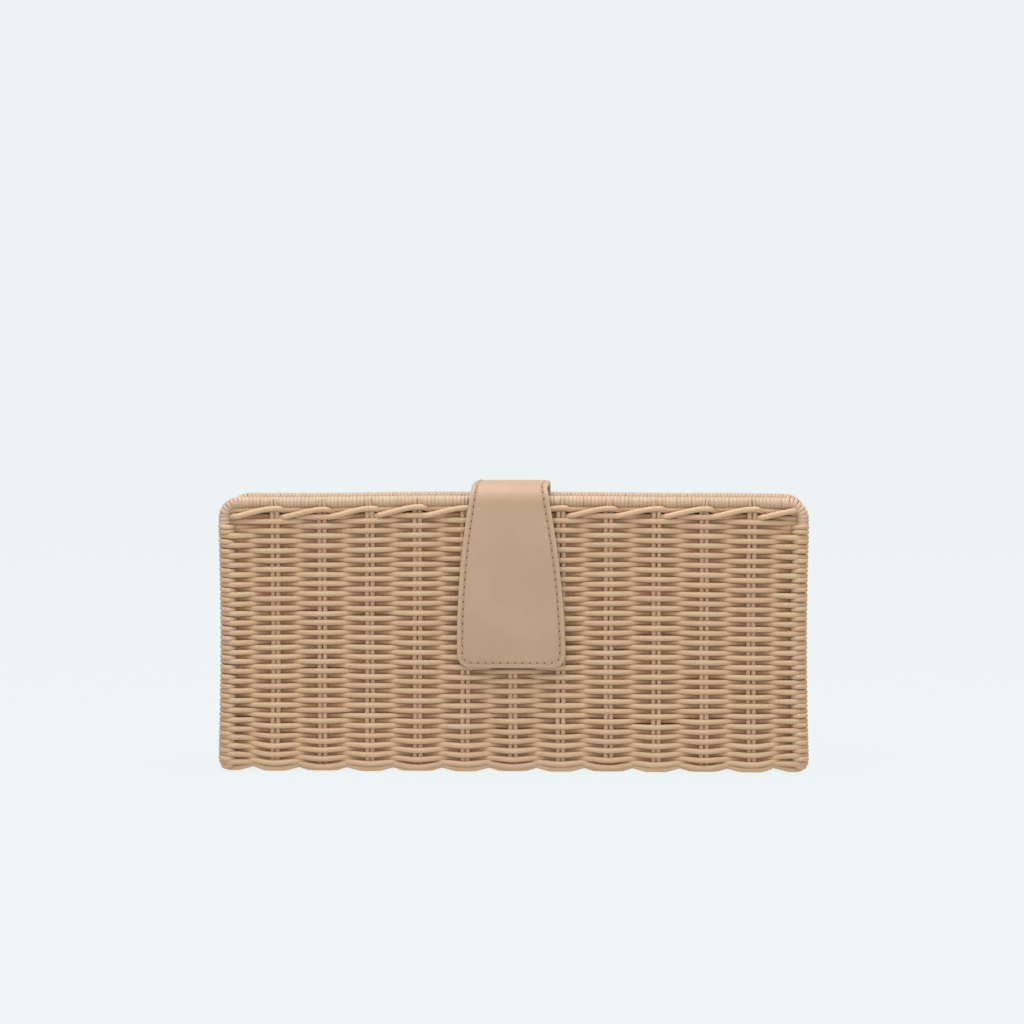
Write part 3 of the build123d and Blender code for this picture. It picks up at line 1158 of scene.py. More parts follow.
@dataclass
class Rims:
    """The bent frame rods, the cane bound on them and the border under them."""

    basket: Basket
    rod_radius: float = 0.0020
    bound_radius: float = 0.0030
    bend: float = 0.0070
    rim_level: float = 0.1319
    end_level: float = 0.1242
    end_half: float = 0.0216
    post_foot: float = 0.0034
    flush: float = 0.0014
    border_level: float = 0.1243
    border_rise: float = 0.0046
    border_half: tuple[float, float] = (0.00115, 0.00135)
    shaved_half: tuple[float, float] = (0.00080, 0.00072)
    cane_half_width: float = 0.00112
    cane_depth: float = 0.00040
    cane_pitch: float = 0.00182

    def frame_line(self, side: float, foot: float) -> np.ndarray:
        """Follows a frame from one foot, over the rim, to the other foot.

        Args:
            side: -1 for the front frame, 1 for the back.
            foot: Height of both ends.

        Returns:
            Points along the rod's middle.
        """
        x, y = self.basket.post_x, side * self.basket.post_y
        centre_x, centre_z = x - self.bend, self.rim_level - self.bend
        half = [(-x, y, z) for z in np.arange(foot, centre_z, 0.002)]
        for a in np.radians(np.linspace(180, 90, 12)):
            z = centre_z + self.bend * math.sin(a)
            half.append((-centre_x + self.bend * math.cos(a), y, z))
        top = [(t, y, self.rim_level) for t in np.linspace(-centre_x, centre_x, 130)[1:-1]]
        points = np.array(half + top + [(-px, py, pz) for px, py, pz in reversed(half)])
        spread = smooth(np.abs(points[:, 0]), 0.126, 0.1385) * smooth(points[:, 2], 0.106, 0.120)
        points[:, 0] += np.sign(points[:, 0]) * self.flush * spread
        return self.basket.settle(points)

    def end_line(self, side: float) -> np.ndarray:
        """Follows an end rim from the front frame to the back one."""
        ys = np.linspace(-self.end_half, self.end_half, 28)
        levels = self.end_level - 0.0006 * (1 - (ys / self.end_half) ** 2)
        xs = np.full(len(ys), side * (self.basket.post_x + 0.0006))
        return self.basket.settle(np.column_stack([xs, ys, levels]))

    def rods(self) -> list[Strand]:
        """Makes the two frame rods and the two end rods."""
        made = [Strand(self.frame_line(side, self.post_foot), tint=0.4) for side in (-1.0, 1.0)]
        return made + [Strand(self.end_line(side), tint=0.6) for side in (-1.0, 1.0)]

    def cane_turn(self, radius: float) -> bpy.types.Object:
        """Makes one turn of cane round a rod that runs along its own X axis."""
        turns, ribs = 22, 7
        verts, fibre, faces = [], [], []
        for i, a in enumerate(np.linspace(0, 2 * math.pi, turns, endpoint=False)):
            for r in np.linspace(0, 2 * math.pi, ribs, endpoint=False):
                out, x = radius - self.cane_depth * (1 - math.sin(r)), math.cos(r)
                verts.append((self.cane_half_width * x, out * math.cos(a), out * math.sin(a)))
                fibre.append((a * radius, 0.0009 * x, 0.0009 * math.sin(r)))
            faces += band(i * ribs, (i + 1) % turns * ribs, ribs)
        mesh = bpy.data.meshes.new("cane_turn")
        mesh.from_pydata(verts, [], faces)
        store(mesh, "fibre", fibre)
        return link("cane_turn", mesh)

    def border(self) -> list[Strand]:
        """Lays the border strands that lean along under each rim."""
        made, basket = [], self.basket
        pitch = basket.columns[1] - basket.columns[0]
        starts = np.concatenate([[basket.columns[0] - pitch], basket.columns])
        for side in (-1.0, 1.0):
            for start in starts:
                last = start == starts[-1]
                share = np.linspace(-0.08, 0.99 if last else 1.30, 26)
                rise = self.border_rise * smooth(share, -0.1, 1.05)
                rise = rise + basket.chance.normal(0, 0.0002)
                rise = rise - 0.0022 * smooth(share, 1.08, 1.32)
                tuck = smooth(share, 0.82, 0.99) if last else smooth(share, 1.08, 1.28)
                out = -0.0016 + 0.0042 * smooth(share, 0.0, 0.22) - 0.0036 * tuck
                places = [start + pitch * share, side * (basket.half_y + out)]
                points = basket.settle(np.column_stack([*places, self.border_level + rise]))
                # Painted shade: mixed in where the border strand tucks in behind the wall.
                girth, recess = np.full(26, 1.04), smooth(-out, -0.001, 0.0016) * 0.8
                made.append(Strand(points, girth, recess, basket.tint()))
        return made

    def stake_ends(self) -> list[Strand]:
        """Takes each stake's shaved end up over the rim, on the binding."""
        made, basket = [], self.basket
        arc = np.radians(np.linspace(-38, 78, 15))
        over = self.bound_radius + 0.0004 - 0.0014 * smooth(np.degrees(arc), 20, 74)
        foot = [(basket.half_y + 0.0004, 0.1256), (0.0276, 0.1280)]
        ys, zs = basket.post_y + over * np.cos(arc), self.rim_level + over * np.sin(arc)
        ys, zs = np.vstack([foot, np.column_stack([ys, zs])]).T
        for side in (-1.0, 1.0):
            for column in basket.columns:
                for offset in (-1, 1):
                    if basket.chance.random() < 0.12:
                        continue
                    x = column + offset * 0.00095 + basket.chance.normal(0, 0.00018)
                    points = np.column_stack([np.full(len(ys), x), side * ys, zs])
                    points[:, 0] += np.linspace(0, basket.chance.normal(0, 0.0005), len(points))
                    made.append(Strand(basket.settle(points), tint=basket.tint() * 0.5))
        return made


# ---------------------------------------------------------------- the leather strap


class Length(Enum):
    """The two cut lengths of the strap, which meet over the middle of the opening."""

    FRONT = "flap"
    BACK = "tail"


@dataclass
class Strap:
    """Two sewn layers of leather that hold at the back and fold over to the front."""

    thickness: float = 0.0028
    inner_front: float = 0.0313
    inner_back: float = 0.0301
    under: float = 0.1383
    bend: float = 0.0060
    foot: float = 0.0512
    full_below: float = 0.0620
    half_width: float = 0.0265
    flare: float = 0.0079
    flare_power: float = 1.9
    foot_corner: float = 0.0066
    tail_foot: float = 0.092
    tail_corner: float = 0.0080
    overlap: float = 0.0008
    crown: float = 0.00045
    curl: float = 0.0003
    bow: float = 0.0009
    middle: float = -0.0016
    drift: float = 0.0011
    edge_radius: float = 0.00115
    stitch_inset: float = 0.0027
    stitch_pitch: float = 0.00355

    @property
    def meet(self) -> float:
        """Where the two lengths meet, from front to back."""
        return (self.inner_back - self.inner_front) / 2

    def corner(self, cut: Length) -> float:
        """The radius of a length's two cut corners."""
        return self.tail_corner if cut is Length.BACK else self.foot_corner

    def layout(self, cut: Length) -> tuple[float, float, float]:
        """Gives a length's straight runs: over the opening, round the bend, and down the wall."""
        if cut is Length.FRONT:
            over, foot = self.meet + self.inner_front - self.bend, self.foot
        else:
            over, foot = self.inner_back - self.bend - self.meet, self.tail_foot
        return over, self.bend * math.pi / 2, self.under - self.bend - foot

    def fold(self, cut: Length, run: np.ndarray) -> tuple[np.ndarray, np.ndarray]:
        """Follows the strap's inner face in side view.

        Args:
            cut: Which length.
            run: Distances from the middle of the opening.

        Returns:
            The y and z of each point, and the y and z of the outward direction there.
        """
        over, arc, _ = self.layout(cut)
        side, face = (
            (-1.0, self.inner_front) if cut is Length.FRONT else (1.0, self.inner_back)
        )
        angle = np.clip((run - over) / arc, 0, 1) * math.pi / 2
        round_y = side * (face - self.bend + self.bend * np.sin(angle))
        round_z = self.under - self.bend + self.bend * np.cos(angle)
        past = run > over
        y = np.where(past, round_y, self.meet + side * np.minimum(run, over))
        z = np.where(past, round_z, self.under) - np.clip(run - over - arc, 0, None)
        return np.column_stack([y, z]), np.column_stack([side * np.sin(angle), np.cos(angle)])

    def reach(self, cut: Length, run: np.ndarray) -> np.ndarray:
        """Half the strap's width at distances from the middle of the opening."""
        over, arc, down = self.layout(cut)
        corner, top = self.corner(cut), self.under + self.thickness
        if cut is Length.BACK:
            half = np.full_like(run, self.half_width - self.flare)
        else:
            height = top - np.clip(run - over - arc * 0.35, 0, None)
            share = np.clip((height - self.full_below) / (top - self.full_below), 0, 1)
            half = self.half_width - self.flare * share**self.flare_power
        into = np.clip(run - (over + arc + down - corner), 0, corner)
        return half - corner + np.sqrt(np.maximum(corner**2 - into**2, 0))

    def place(
        self, cut: Length, across: np.ndarray, run: np.ndarray, out: np.ndarray
    ) -> np.ndarray:
        """Puts points of the flat strap where they lie on the bag.

        Args:
            cut: Which length.
            across: Distance from the strap's centre line.
            run: Distance from the middle of the opening.
            out: Height above the inner face.

        Returns:
            The points.
        """
        middle, away = self.fold(cut, run)
        over, arc, down = self.layout(cut)
        share = np.clip((run - over - arc) / down, 0, 1)
        flat = 1 - smooth(run, over - 0.01, over + arc)
        crown = self.crown * (1 - (across / 0.02) ** 2) * flat
        height, x = out + crown, across + self.middle
        if cut is Length.FRONT:
            curl = self.curl * smooth(np.abs(across), 0.015, self.half_width)
            curl = curl * smooth(share, 0.55, 1.0)
            height = height + self.bow * np.sin(share * math.pi) - curl
            x = x + self.drift * share
        return np.column_stack([x, middle + away * height[:, None]])

    def rim_distance(self, cut: Length, across: np.ndarray, run: np.ndarray) -> np.ndarray:
        """How far points of the flat strap lie from its cut edge."""
        corner, end = self.corner(cut), sum(self.layout(cut))
        side = self.reach(cut, np.minimum(run, end - corner)) - np.abs(across)
        foot = end - run
        near = (side < corner) & (foot < corner)
        rounded = corner - np.hypot(corner - side, corner - foot)
        return np.clip(np.where(near, rounded, np.minimum(side, foot)), 0, None)

    def flat(self, cut: Length) -> tuple[np.ndarray, np.ndarray, int]:
        """Lays a grid over the flat strap, close together along its edges.

        Args:
            cut: Which length.

        Returns:
            Each point's distance across and along, and the number of points in a row.
        """
        over, arc, _ = self.layout(cut)
        corner, end = self.corner(cut), sum(self.layout(cut))
        turn = np.radians(np.linspace(0, 90, 13))
        rows = np.concatenate(
            [
                [-self.overlap] if cut is Length.BACK else [],
                [0.0, 0.0004, 0.0012],
                np.arange(0.003, over - 0.002, 0.002),
                np.linspace(over - 0.0015, over + arc + 0.0015, 17),
                np.arange(over + arc + 0.0032, end - corner - 0.0006, 0.0018),
                end - corner + corner * np.sin(turn),
            ]
        )
        rim = np.array([0, 8, 25, 50, 80, 120, 180, 240, 270, 300, 370]) * 1e-5
        inner = np.linspace(-1, 1, 15)[1:-1]
        grid = []
        for run in rows:
            half = float(self.reach(cut, np.array([run]))[0]) - (0.00006 if run < 0 else 0.0)
            narrow = half * np.linspace(0, 0.5, len(rim))
            used = np.minimum(rim, narrow) if half < 0.008 else rim
            left = -half + used
            grid.append(np.concatenate([left, inner * (half - used[-1]), -left[::-1]]))
        columns = len(grid[0])
        return np.concatenate(grid), np.repeat(rows, columns), columns

    def hide(self, cut: Length) -> bpy.types.Object:
        """Cuts, skives and folds one length of the strap; the back one tucks under the front one.

        Args:
            cut: Which length.

        Returns:
            The closed leather piece, with edge and outer attributes.
        """
        across, run, columns = self.flat(cut)
        border = self.rim_distance(cut, across, run)
        round_off = np.sqrt(
            np.maximum(1 - (1 - np.minimum(border / self.edge_radius, 1)) ** 2, 0)
        )
        half_thick = self.thickness / 2 * (0.16 + 0.84 * round_off) * np.where(run < 0, 0.985, 1.0)
        dip = 0.00022 * np.exp(-(((border - self.stitch_inset) / 0.0006) ** 2))
        top = self.place(cut, across, run, self.thickness / 2 + half_thick - dip)
        low = self.place(cut, across, run, self.thickness / 2 - half_thick)
        count = len(across)
        order = np.arange(count).reshape(-1, columns)
        faces, sides = [], []
        for a, b in zip(order[:-1].tolist(), order[1:].tolist()):
            for j in range(columns - 1):
                outside = (a[j], b[j], b[j + 1], a[j + 1])
                faces += [outside, tuple(count + outside[k] for k in (0, 3, 2, 1))]
            sides.append((a[0], count + a[0], count + b[0], b[0]))
            sides.append((a[-1], b[-1], count + b[-1], count + a[-1]))
        faces += sides
        for first, last in zip(order[0, :-1].tolist(), order[-1, :-1].tolist()):
            faces.append((first, first + 1, count + first + 1, count + first))
            faces.append((last, count + last, count + last + 1, last + 1))
        outer = np.concatenate([np.ones(count), smooth(border, 0.0012, 0.0002)])
        edge = np.concatenate([border, border])
        name = f"{cut.value}_strap"
        piece = solid(name, np.vstack([top, low]), faces, edge=edge, outer=outer)
        meet = self.meet - (self.overlap if cut is Length.BACK else 0.0)
        for polygon in piece.data.polygons:
            if abs(polygon.center.y - meet) < 1e-5:
                polygon.use_smooth = False
        return piece

    def seam(self, cut: Length) -> Strand:
        """Follows the line of sewing on the outer face, all round inside the cut edge."""
        corner, end = self.corner(cut), sum(self.layout(cut))
        radius, straight = corner - self.stitch_inset, end - corner
        turn = np.radians(np.linspace(0, 90, 9))
        runs = np.arange(0.0009, straight, 0.0009)
        last = float(self.reach(cut, np.array([straight]))[0])
        bend = last - corner + radius * np.cos(turn)
        foot = np.linspace(bend[-1], 0, 13)[1:]
        across = np.concatenate([self.reach(cut, runs) - self.stitch_inset, bend, foot])
        level = np.full(len(foot), straight + radius)
        run = np.concatenate([runs, straight + radius * np.sin(turn), level])
        across = np.concatenate([across, -across[-2::-1]])
        run = np.concatenate([run, run[-2::-1]])
        _, away = self.fold(cut, run)
        points = self.place(cut, across, run, np.full_like(run, self.thickness - 0.00020))
        return Strand(points, lift=np.column_stack([np.zeros(len(run)), away]))


def thread_item(length: float, radius: float) -> bpy.types.Object:
    """Makes one stitch: a short thread that dips at both ends, along its own X axis."""
    steps, sides = 9, 8
    verts, faces = [], []
    for i in range(steps):
        share = i / (steps - 1) * 2 - 1
        thick = radius * math.sqrt(max(1 - abs(share) ** 3.2, 0.02))
        rise = 0.00010 - 0.00034 * share**4
        for angle in (2 * math.pi * j / sides for j in range(sides)):
            across, up = thick * math.cos(angle), rise + thick * math.sin(angle)
            verts.append((share * length / 2, across, up))
        faces += band(i * sides, (i + 1) * sides, sides) if i < steps - 1 else []
    faces.append(tuple(range(sides))[::-1])
    faces.append(tuple((steps - 1) * sides + j for j in range(sides)))
    return solid("stitch", verts, faces)


def needle_shade_item(radius: float) -> bpy.types.Object:
    """Makes the painted shade of one needle hole: a shallow dark dish that lies on the leather in place of a cut hole.
    """
    sides = 12
    verts = [(0.0, 0.0, 0.00008)]
    for share, rise in ((0.6, 0.00010), (1.0, -0.00010)):
        for angle in (2 * math.pi * j / sides for j in range(sides)):
            across = share * radius * 1.25 * math.cos(angle)
            verts.append((across, share * radius * math.sin(angle), rise))
    faces = []
    for a, b, c, d in band(1, 1 + sides, sides):
        faces += [(0, a, b), (a, d, c, b)]
    faces.append(tuple(1 + sides + j for j in reversed(range(sides))))
    return solid("needle_hole", verts, faces)


@dataclass
class Patch:
    """The leather patch that covers the steel keeper on the front wall."""

    width: float = 0.034
    height: float = 0.030
    corner: float = 0.005
    thickness: float = 0.001
    level: float = 0.072
    wall_y: float = -0.030
    edge_radius: float = 0.0006
    flat_inset: float = 0.0045
    seam_inset: float = 0.0022
    stitch_pitch: float = 0.0032

    def outline(self, inset: float) -> np.ndarray:
        """Follows the patch's outline, a set distance inside its edge."""
        radius = self.corner - inset
        x, z = self.width / 2 - inset - radius, self.height / 2 - inset - radius
        points = []
        for sign_x, sign_z, start in ((1, 1, 0), (-1, 1, 90), (-1, -1, 180), (1, -1, 270)):
            for angle in np.radians(np.linspace(start, start + 90, 9)):
                out = (radius * math.cos(angle), radius * math.sin(angle))
                points.append((sign_x * x + out[0], sign_z * z + out[1]))
        return np.array(points)

    def leather(self) -> bpy.types.Object:
        """Makes the patch, domed a little over the steel disc."""
        rings, edge = [], []
        for inset in (0.0, 0.00008, 0.0003, 0.0007, 0.0014, 0.0022, 0.0031, self.flat_inset):
            round_off = math.sqrt(1 - (1 - min(inset / self.edge_radius, 1)) ** 2)
            rings.append((self.outline(inset), self.thickness * (0.35 + 0.65 * round_off)))
            edge.append(inset)
        for share in (0.7, 0.4, 0.15):
            dome = self.thickness + 0.00022 * (1 - share)
            rings.append((self.outline(self.flat_inset) * share, dome))
            edge.append(0.006)
        rings.append((rings[0][0], -0.0001))
        edge.append(0.0)
        count, back = len(rings[0][0]), len(rings) - 1
        verts = [(x, self.wall_y - rise, self.level + z) for ring, rise in rings for x, z in ring]
        faces = []
        for i in range(back - 1):
            faces += band(i * count, (i + 1) * count, count)
        faces.append(tuple((back - 1) * count + j for j in range(count)))
        faces.append(tuple(back * count + j for j in reversed(range(count))))
        faces += band(0, back * count, count)
        edge = np.repeat(edge, count)
        return solid("keeper_cover", verts, faces, edge=edge, outer=np.ones(len(edge)))

    def seam(self) -> Strand:
        """Follows the line of sewing round the patch."""
        x, z = self.outline(self.seam_inset).T
        out = np.full(len(x), self.wall_y - self.thickness + 0.0001)
        lift = np.tile((0.0, -1.0, 0.0), (len(x), 1))
        return Strand(np.column_stack([x, out, self.level + z]), closed=True, lift=lift)


# ---------------------------------------------------------------- the lining


@dataclass
class Lining:
    """A cotton tub sewn in under the rims."""

    half_x: float = 0.1379
    half_y: float = 0.0229
    corner: float = 0.0020
    floor: float = 0.0071
    floor_bend: float = 0.0012
    top: float = 0.1321
    end_top: float = 0.1246
    thickness: float = 0.0008
    hem: float = 0.0075
    hem_cloth: float = 0.04
    stitch_pitch: float = 0.0030

    def around(self) -> tuple[np.ndarray, np.ndarray]:
        """Goes round the tub in plan.

        Returns:
            Places and outward directions.
        """
        places, outs = [], []
        long_side, short_side = (self.half_x, 92), (self.half_y, 18)
        arcs = ((-1, -1, 180), (1, -1, 270), (1, 1, 0), (-1, 1, 90))
        for sign_x, sign_y, start in arcs:
            x, y = sign_x * (self.half_x - self.corner), sign_y * (self.half_y - self.corner)
            angles = np.radians(np.linspace(start, start + 90, 6))
            arc = [np.array([math.cos(a), math.sin(a)]) for a in angles]
            places.extend(np.array([x, y]) + self.corner * out for out in arc)
            outs.extend(arc)
            half, count = long_side if start in (180, 0) else short_side
            step = np.array([-arc[-1][1], arc[-1][0]]) * (2 * half - 2 * self.corner)
            end = places[-1]
            places.extend(end + step * t for t in np.linspace(0, 1, count + 2)[1:-1])
            outs.extend([arc[-1]] * count)
        return np.array(places), np.array(outs)

    def heights(self, places: np.ndarray) -> np.ndarray:
        """Gives the height of the hem's edge all round: lower at the two ends."""
        x, y = np.abs(places).T
        ends = smooth(x, 0.1362, 0.1372) * smooth(0.0222 - y, 0.0008, 0.0042)
        return self.top - 0.0009 * smooth(x, 0.1330, 0.1372) + (self.end_top - self.top) * ends

    def seam(self) -> Strand:
        """Follows the sewing that holds the turned hem, on the inside of the tub."""
        places, outs = self.around()
        inside = places - outs * (self.thickness / 2 + 0.0011)
        points = np.column_stack([inside, self.heights(places) - self.hem + 0.0012])
        lift = np.column_stack([-outs, np.zeros(len(outs))])
        return Strand(points, closed=True, lift=lift)

    def cloth(self) -> bpy.types.Object:
        """Sews the tub: walls with a turned hem, a bottom edge and a floor."""
        places, outs = self.around()
        count = len(places)
        run = np.concatenate([[0], np.cumsum(np.linalg.norm(np.diff(places, axis=0), axis=1))])
        tops = self.heights(places)
        low = self.floor + self.floor_bend
        shares = np.concatenate([np.linspace(0, 0.93, 27), np.linspace(0.937, 1, 9)])
        verts, uvs, faces = [], [], []
        for share in shares:
            z = low + (tops - low) * share
            sway = np.sin(run * 70 + z * 55) * np.sin(z * 90 + run * 23)
            bulge = math.sin(math.pi * share)
            slack = 0.0005 * sway * bulge**0.7 + 0.0006 * bulge
            hemmed = 0.00025 * smooth(self.hem - (tops - z), -0.0004, 0.0004)
            tucked = 0.0006 * smooth(0.014 - (tops - z), 0.0, 0.008)
            inward = slack + self.thickness / 2 + hemmed + tucked
            verts.extend(np.column_stack([places - outs * inward[:, None], z]))
            uvs.extend(zip(run, z))
        rings = len(shares) - 1
        for ring in range(rings):
            faces += band(ring * count, (ring + 1) * count, count)
        for depth, lift in ((0.0008, 0.0004), (0.0030, 0.0), (0.0065, 0.0)):
            x, y = (places - outs * (self.thickness / 2 + depth)).T
            z = self.floor + lift + 0.0002 * np.sin(x * 120) * np.sin(y * 240)
            verts.extend(np.column_stack([x, y, z]))
            uvs.extend(zip(x, y + 1.0))
        previous = 0
        for ring in range(rings + 1, rings + 4):
            faces += [(b, a, d, c) for a, b, c, d in band(previous, ring * count, count)]
            previous = ring * count
        faces.append(tuple(previous + i for i in range(count)))
        piece = solid("lining_cloth", verts, faces, uvs)
        wall = piece.modifiers.new("cloth thickness", "SOLIDIFY")
        wall.thickness, wall.offset = self.thickness, 0.0
        piece.data = evaluated(piece)
        return piece


# ---------------------------------------------------------------- putting it together


@dataclass
class Bag:
    """The whole bag: its sub-assemblies, its finishes and what each piece rides on."""

    basket: Basket = field(default_factory=Basket)
    strap: Strap = field(default_factory=Strap)
    patch: Patch = field(default_factory=Patch)
    lining: Lining = field(default_factory=Lining)
    thread_radius: float = 0.00030
    hole_radius: float = 0.00054
    fine: float = 0.8

    def __post_init__(self) -> None:
        """Makes the finishes and the recipes."""
        self.rims = Rims(self.basket)
        finishes = {
            "reed": ReedFinish("weaver_reed"),
            "stake_reed": ReedFinish("stake_reed", (0.64, 0.43, 0.27), (0.60, 0.385, 0.24)),
            "cane": ReedFinish("binding_cane", (0.475, 0.335, 0.238), (0.45, 0.305, 0.207)),
            "hide": LeatherFinish("strap_hide", seam_inset=self.strap.stitch_inset),
            "thread": ThreadFinish("leather_thread", (0.42, 0.275, 0.175), (0.36, 0.23, 0.145)),
            # Painted shade: the dark colour of each needle hole's dish stands in for the shade inside the hole.
            "hole": ThreadFinish("needle_hole", (0.15, 0.085, 0.05), (0.11, 0.06, 0.035), 0.9),
            "cotton": ClothFinish("lining_cotton"),
            "hem_thread": ThreadFinish("hem_thread", (0.14, 0.075, 0.05), (0.09, 0.045, 0.03)),
            "brass": MetalFinish("rivet_brass", (0.62, 0.47, 0.27), (0.40, 0.28, 0.15)),
            "steel": MetalFinish("plated_steel", (0.60, 0.60, 0.61), (0.42, 0.42, 0.43)),
        }
        self.finish = {name: plan.make() for name, plan in finishes.items()}
        self.upright, self.free = sweep_recipe(True), sweep_recipe(False)
        self.repeat = repeat_recipe()

    def keep(
        self, piece: bpy.types.Object, body: str, slot: str, replaces: Iterable[str] = ()
    ) -> None:
        """Puts a piece on its body and reports it.

        Args:
            piece: The finished piece.
            body: The body that it rides on, or "" where it already bends between two.
            slot: The material slot that it takes.
            replaces: The plain solids that it stands for.
        """
        if body:
            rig.ride(piece, body)
        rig.slot(piece, slot)
        if replaces:
            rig.replaces(piece, *replaces)
        piece.data.calc_loop_triangles()
        LOG.info("%s: %d triangles", piece.name, len(piece.data.loop_triangles))

    def reeds(
        self,
        name: str,
        strands: list[Strand],
        finish: str,
        wide: float,
        tall: float,
        sides: int = 8,
        upright: bool = True,
    ) -> bpy.types.Object:
        """Gives strands their body.

        Args:
            name: The piece's name.
            strands: The strands.
            finish: The name of their finish.
            wide: Half thickness across the wall.
            tall: Half thickness along the wall.
            sides: Sides of the round section.
            upright: Whether the section stays upright.

        Returns:
            The piece.
        """
        recipe = self.upright if upright else self.free
        look = {"Wide": wide, "Tall": tall, "Sides": sides, "Material": self.finish[finish]}
        return recipe.make(path_object(name, strands), name, **look)

    def weave(self) -> None:
        """Weaves the walls and the base."""
        basket = self.basket
        upper, lower, turns = basket.rows()
        wide, tall, body = basket.reed_half_width, basket.reed_half_height, basket.stake_body
        names = [f"stake_{i:02d}" for i in range(1, 2 * basket.pairs + 1)]
        for end in ("left", "right"):
            names += [f"{end}_end_stake_{face}" for face in ("front", "back")]
        stake = ("stake_reed", body, body, 8, False)
        plans = (
            ("upper_weave", upper, ("reed", wide, tall), ["wall_weave"]),
            ("lower_weave", lower, ("reed", wide, tall), []),
            ("post_turns", turns, ("reed", *basket.turn_half), []),
            ("base_rows", basket.base_rows(), ("reed", *basket.base_half), ["base_weave"]),
            ("stakes", basket.stakes(), stake, names),
        )
        for name, strands, shape, replaces in plans:
            self.keep(self.reeds(name, strands, *shape), "basket", "reed", replaces)

    def bind(self) -> None:
        """Makes the frame rods, their cane and the border."""
        rims, core = self.rims, self.rims.rod_radius * 0.95
        names = ["front_frame_rod", "back_frame_rod", "left_rim_rod", "right_rim_rod"]
        rods = self.reeds("frame_rods", rims.rods(), "stake_reed", core, core, 10, False)
        self.keep(rods, "basket", "frame_rod", names)
        turn = rims.cane_turn(rims.bound_radius)
        foot = self.basket.shoulder + 0.0016
        lines = [(rims.frame_line(side, foot), (0.0, side, 0.0)) for side in (-1.0, 1.0)]
        lines += [(rims.end_line(side), (side, 0.0, 0.0)) for side in (-1.0, 1.0)]
        for seed, (name, (line, out)) in enumerate(zip(("front", "back", "left", "right"), lines)):
            strand = Strand(line, lift=np.tile(out, (len(line), 1)))
            look = {"Tilt": 0.045, "Jitter": 0.07, "Seed": seed * 7 + 3}
            piece = self.row(f"{name}_cane", strand, turn, "cane", Spacing=rims.cane_pitch, **look)
            self.keep(piece, "basket", "cane", [f"{name}_rim_binding"])
        bpy.data.objects.remove(turn)
        border = self.reeds("border_strands", rims.border(), "reed", *rims.border_half)
        self.keep(border, "basket", "reed")
        shaved = ("cane", *rims.shaved_half, 8, False)
        self.keep(self.reeds("stake_ends", rims.stake_ends(), *shaved), "basket", "cane")

    def row(
        self, name: str, line: Strand, item: bpy.types.Object, finish: str, **look: object
    ) -> bpy.types.Object:
        """Sets an item again and again along a line.

        Args:
            name: The piece's name.
            line: The line.
            item: What to repeat.
            finish: The name of its finish.
            look: The recipe's other inputs; tilt, jitter and slide are 0 unless given.

        Returns:
            The piece.
        """
        inputs = {"Item": item, "Tilt": 0.0, "Jitter": 0.0, "Slide": 0.0, **look}
        source = path_object(name, [line])
        return self.repeat.make(source, name, **inputs, Material=self.finish[finish])

    def sew(
        self,
        name: str,
        seam: Strand,
        pitch: float,
        scale: float = 1.0,
        thread: str = "thread",
    ) -> list[bpy.types.Object]:
        """Sews along a seam: a thread for each stitch and, in leather, a dark dish of painted shade for a needle hole
        between two.

        Args:
            name: The start of both pieces' names.
            seam: The line to sew along.
            pitch: Length from hole to hole.
            scale: Size of the thread and holes.
            thread: The thread's finish; only the leather's own thread has painted needle-hole shade beside it.

        Returns:
            The threads and the painted shade of the holes.
        """
        pace = {"Spacing": pitch, "Seed": 5}
        stitch = thread_item(pitch * 0.86, self.thread_radius * scale)
        look = {**pace, "Jitter": 0.015, "Slide": 0.5 * pitch}
        made = [self.row(f"{name}_stitches", seam, stitch, thread, **look)]
        bpy.data.objects.remove(stitch)
        if thread == "thread":
            # A dark dish of painted shade marks each needle hole; no hole is cut in the leather.
            hole = needle_shade_item(self.hole_radius * scale)
            made.append(self.row(f"{name}_needle_holes", seam, hole, "hole", **pace))
            bpy.data.objects.remove(hole)
        return made

    def close(self) -> None:
        """Makes the strap's two lengths, their sewing, the keeper's patch and its sewing."""
        strap = self.strap
        high = strap.under + strap.thickness
        plans = (
            (
                (Length.BACK, "basket", "bridge"),
                {"start": (0, 0.0315, 0.1275), "end": (0, 0.0205, high)},
                ("tail",),
            ),
            (
                (Length.FRONT, "bridge", "flap"),
                {"start": (0, -0.0215, high), "end": (0, -0.0328, 0.1275)},
                ("bridge", "flap"),
            ),
        )
        for (cut, first, second), span, parts in plans:
            names = [f"{part}_{face}_leather" for part in parts for face in ("inner", "outer")]
            piece = strap.hide(cut)
            piece.data.materials.append(self.finish["hide"])
            sewing = self.sew(cut.value, strap.seam(cut), strap.stitch_pitch)
            for part in [piece, *sewing]:
                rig.blend(part, first, second, **span)
                self.keep(part, "", "strap_leather", names if part is piece else ())
        cover = self.patch.leather()
        cover.data.materials.append(self.finish["hide"])
        self.keep(cover, "basket", "strap_leather", ["keeper_patch"])
        for part in self.sew("patch", self.patch.seam(), self.patch.stitch_pitch, self.fine):
            self.keep(part, "basket", "strap_leather")

    def line(self) -> None:
        """Makes the lining."""
        tub = self.lining
        cloth = tub.cloth()
        cloth.data.materials.clear()
        cloth.data.materials.append(self.finish["cotton"])
        perimeter = 4 * (tub.half_x + tub.half_y)
        area = sum(polygon.area for polygon in cloth.data.polygons) / 2
        floor = 2 * tub.half_y / perimeter
        flat = (perimeter, (tub.top - tub.floor) * (1 + floor) + tub.hem_cloth)
        area = min(area, flat[0] * flat[1])
        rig.sheet(cloth, flat=flat, held="stretched", rests_on=["wall_weave"], area=area)
        self.keep(cloth, "basket", "lining", ["lining"])
        for part in self.sew("hem", tub.seam(), tub.stitch_pitch, self.fine, "hem_thread"):
            self.keep(part, "basket", "lining")

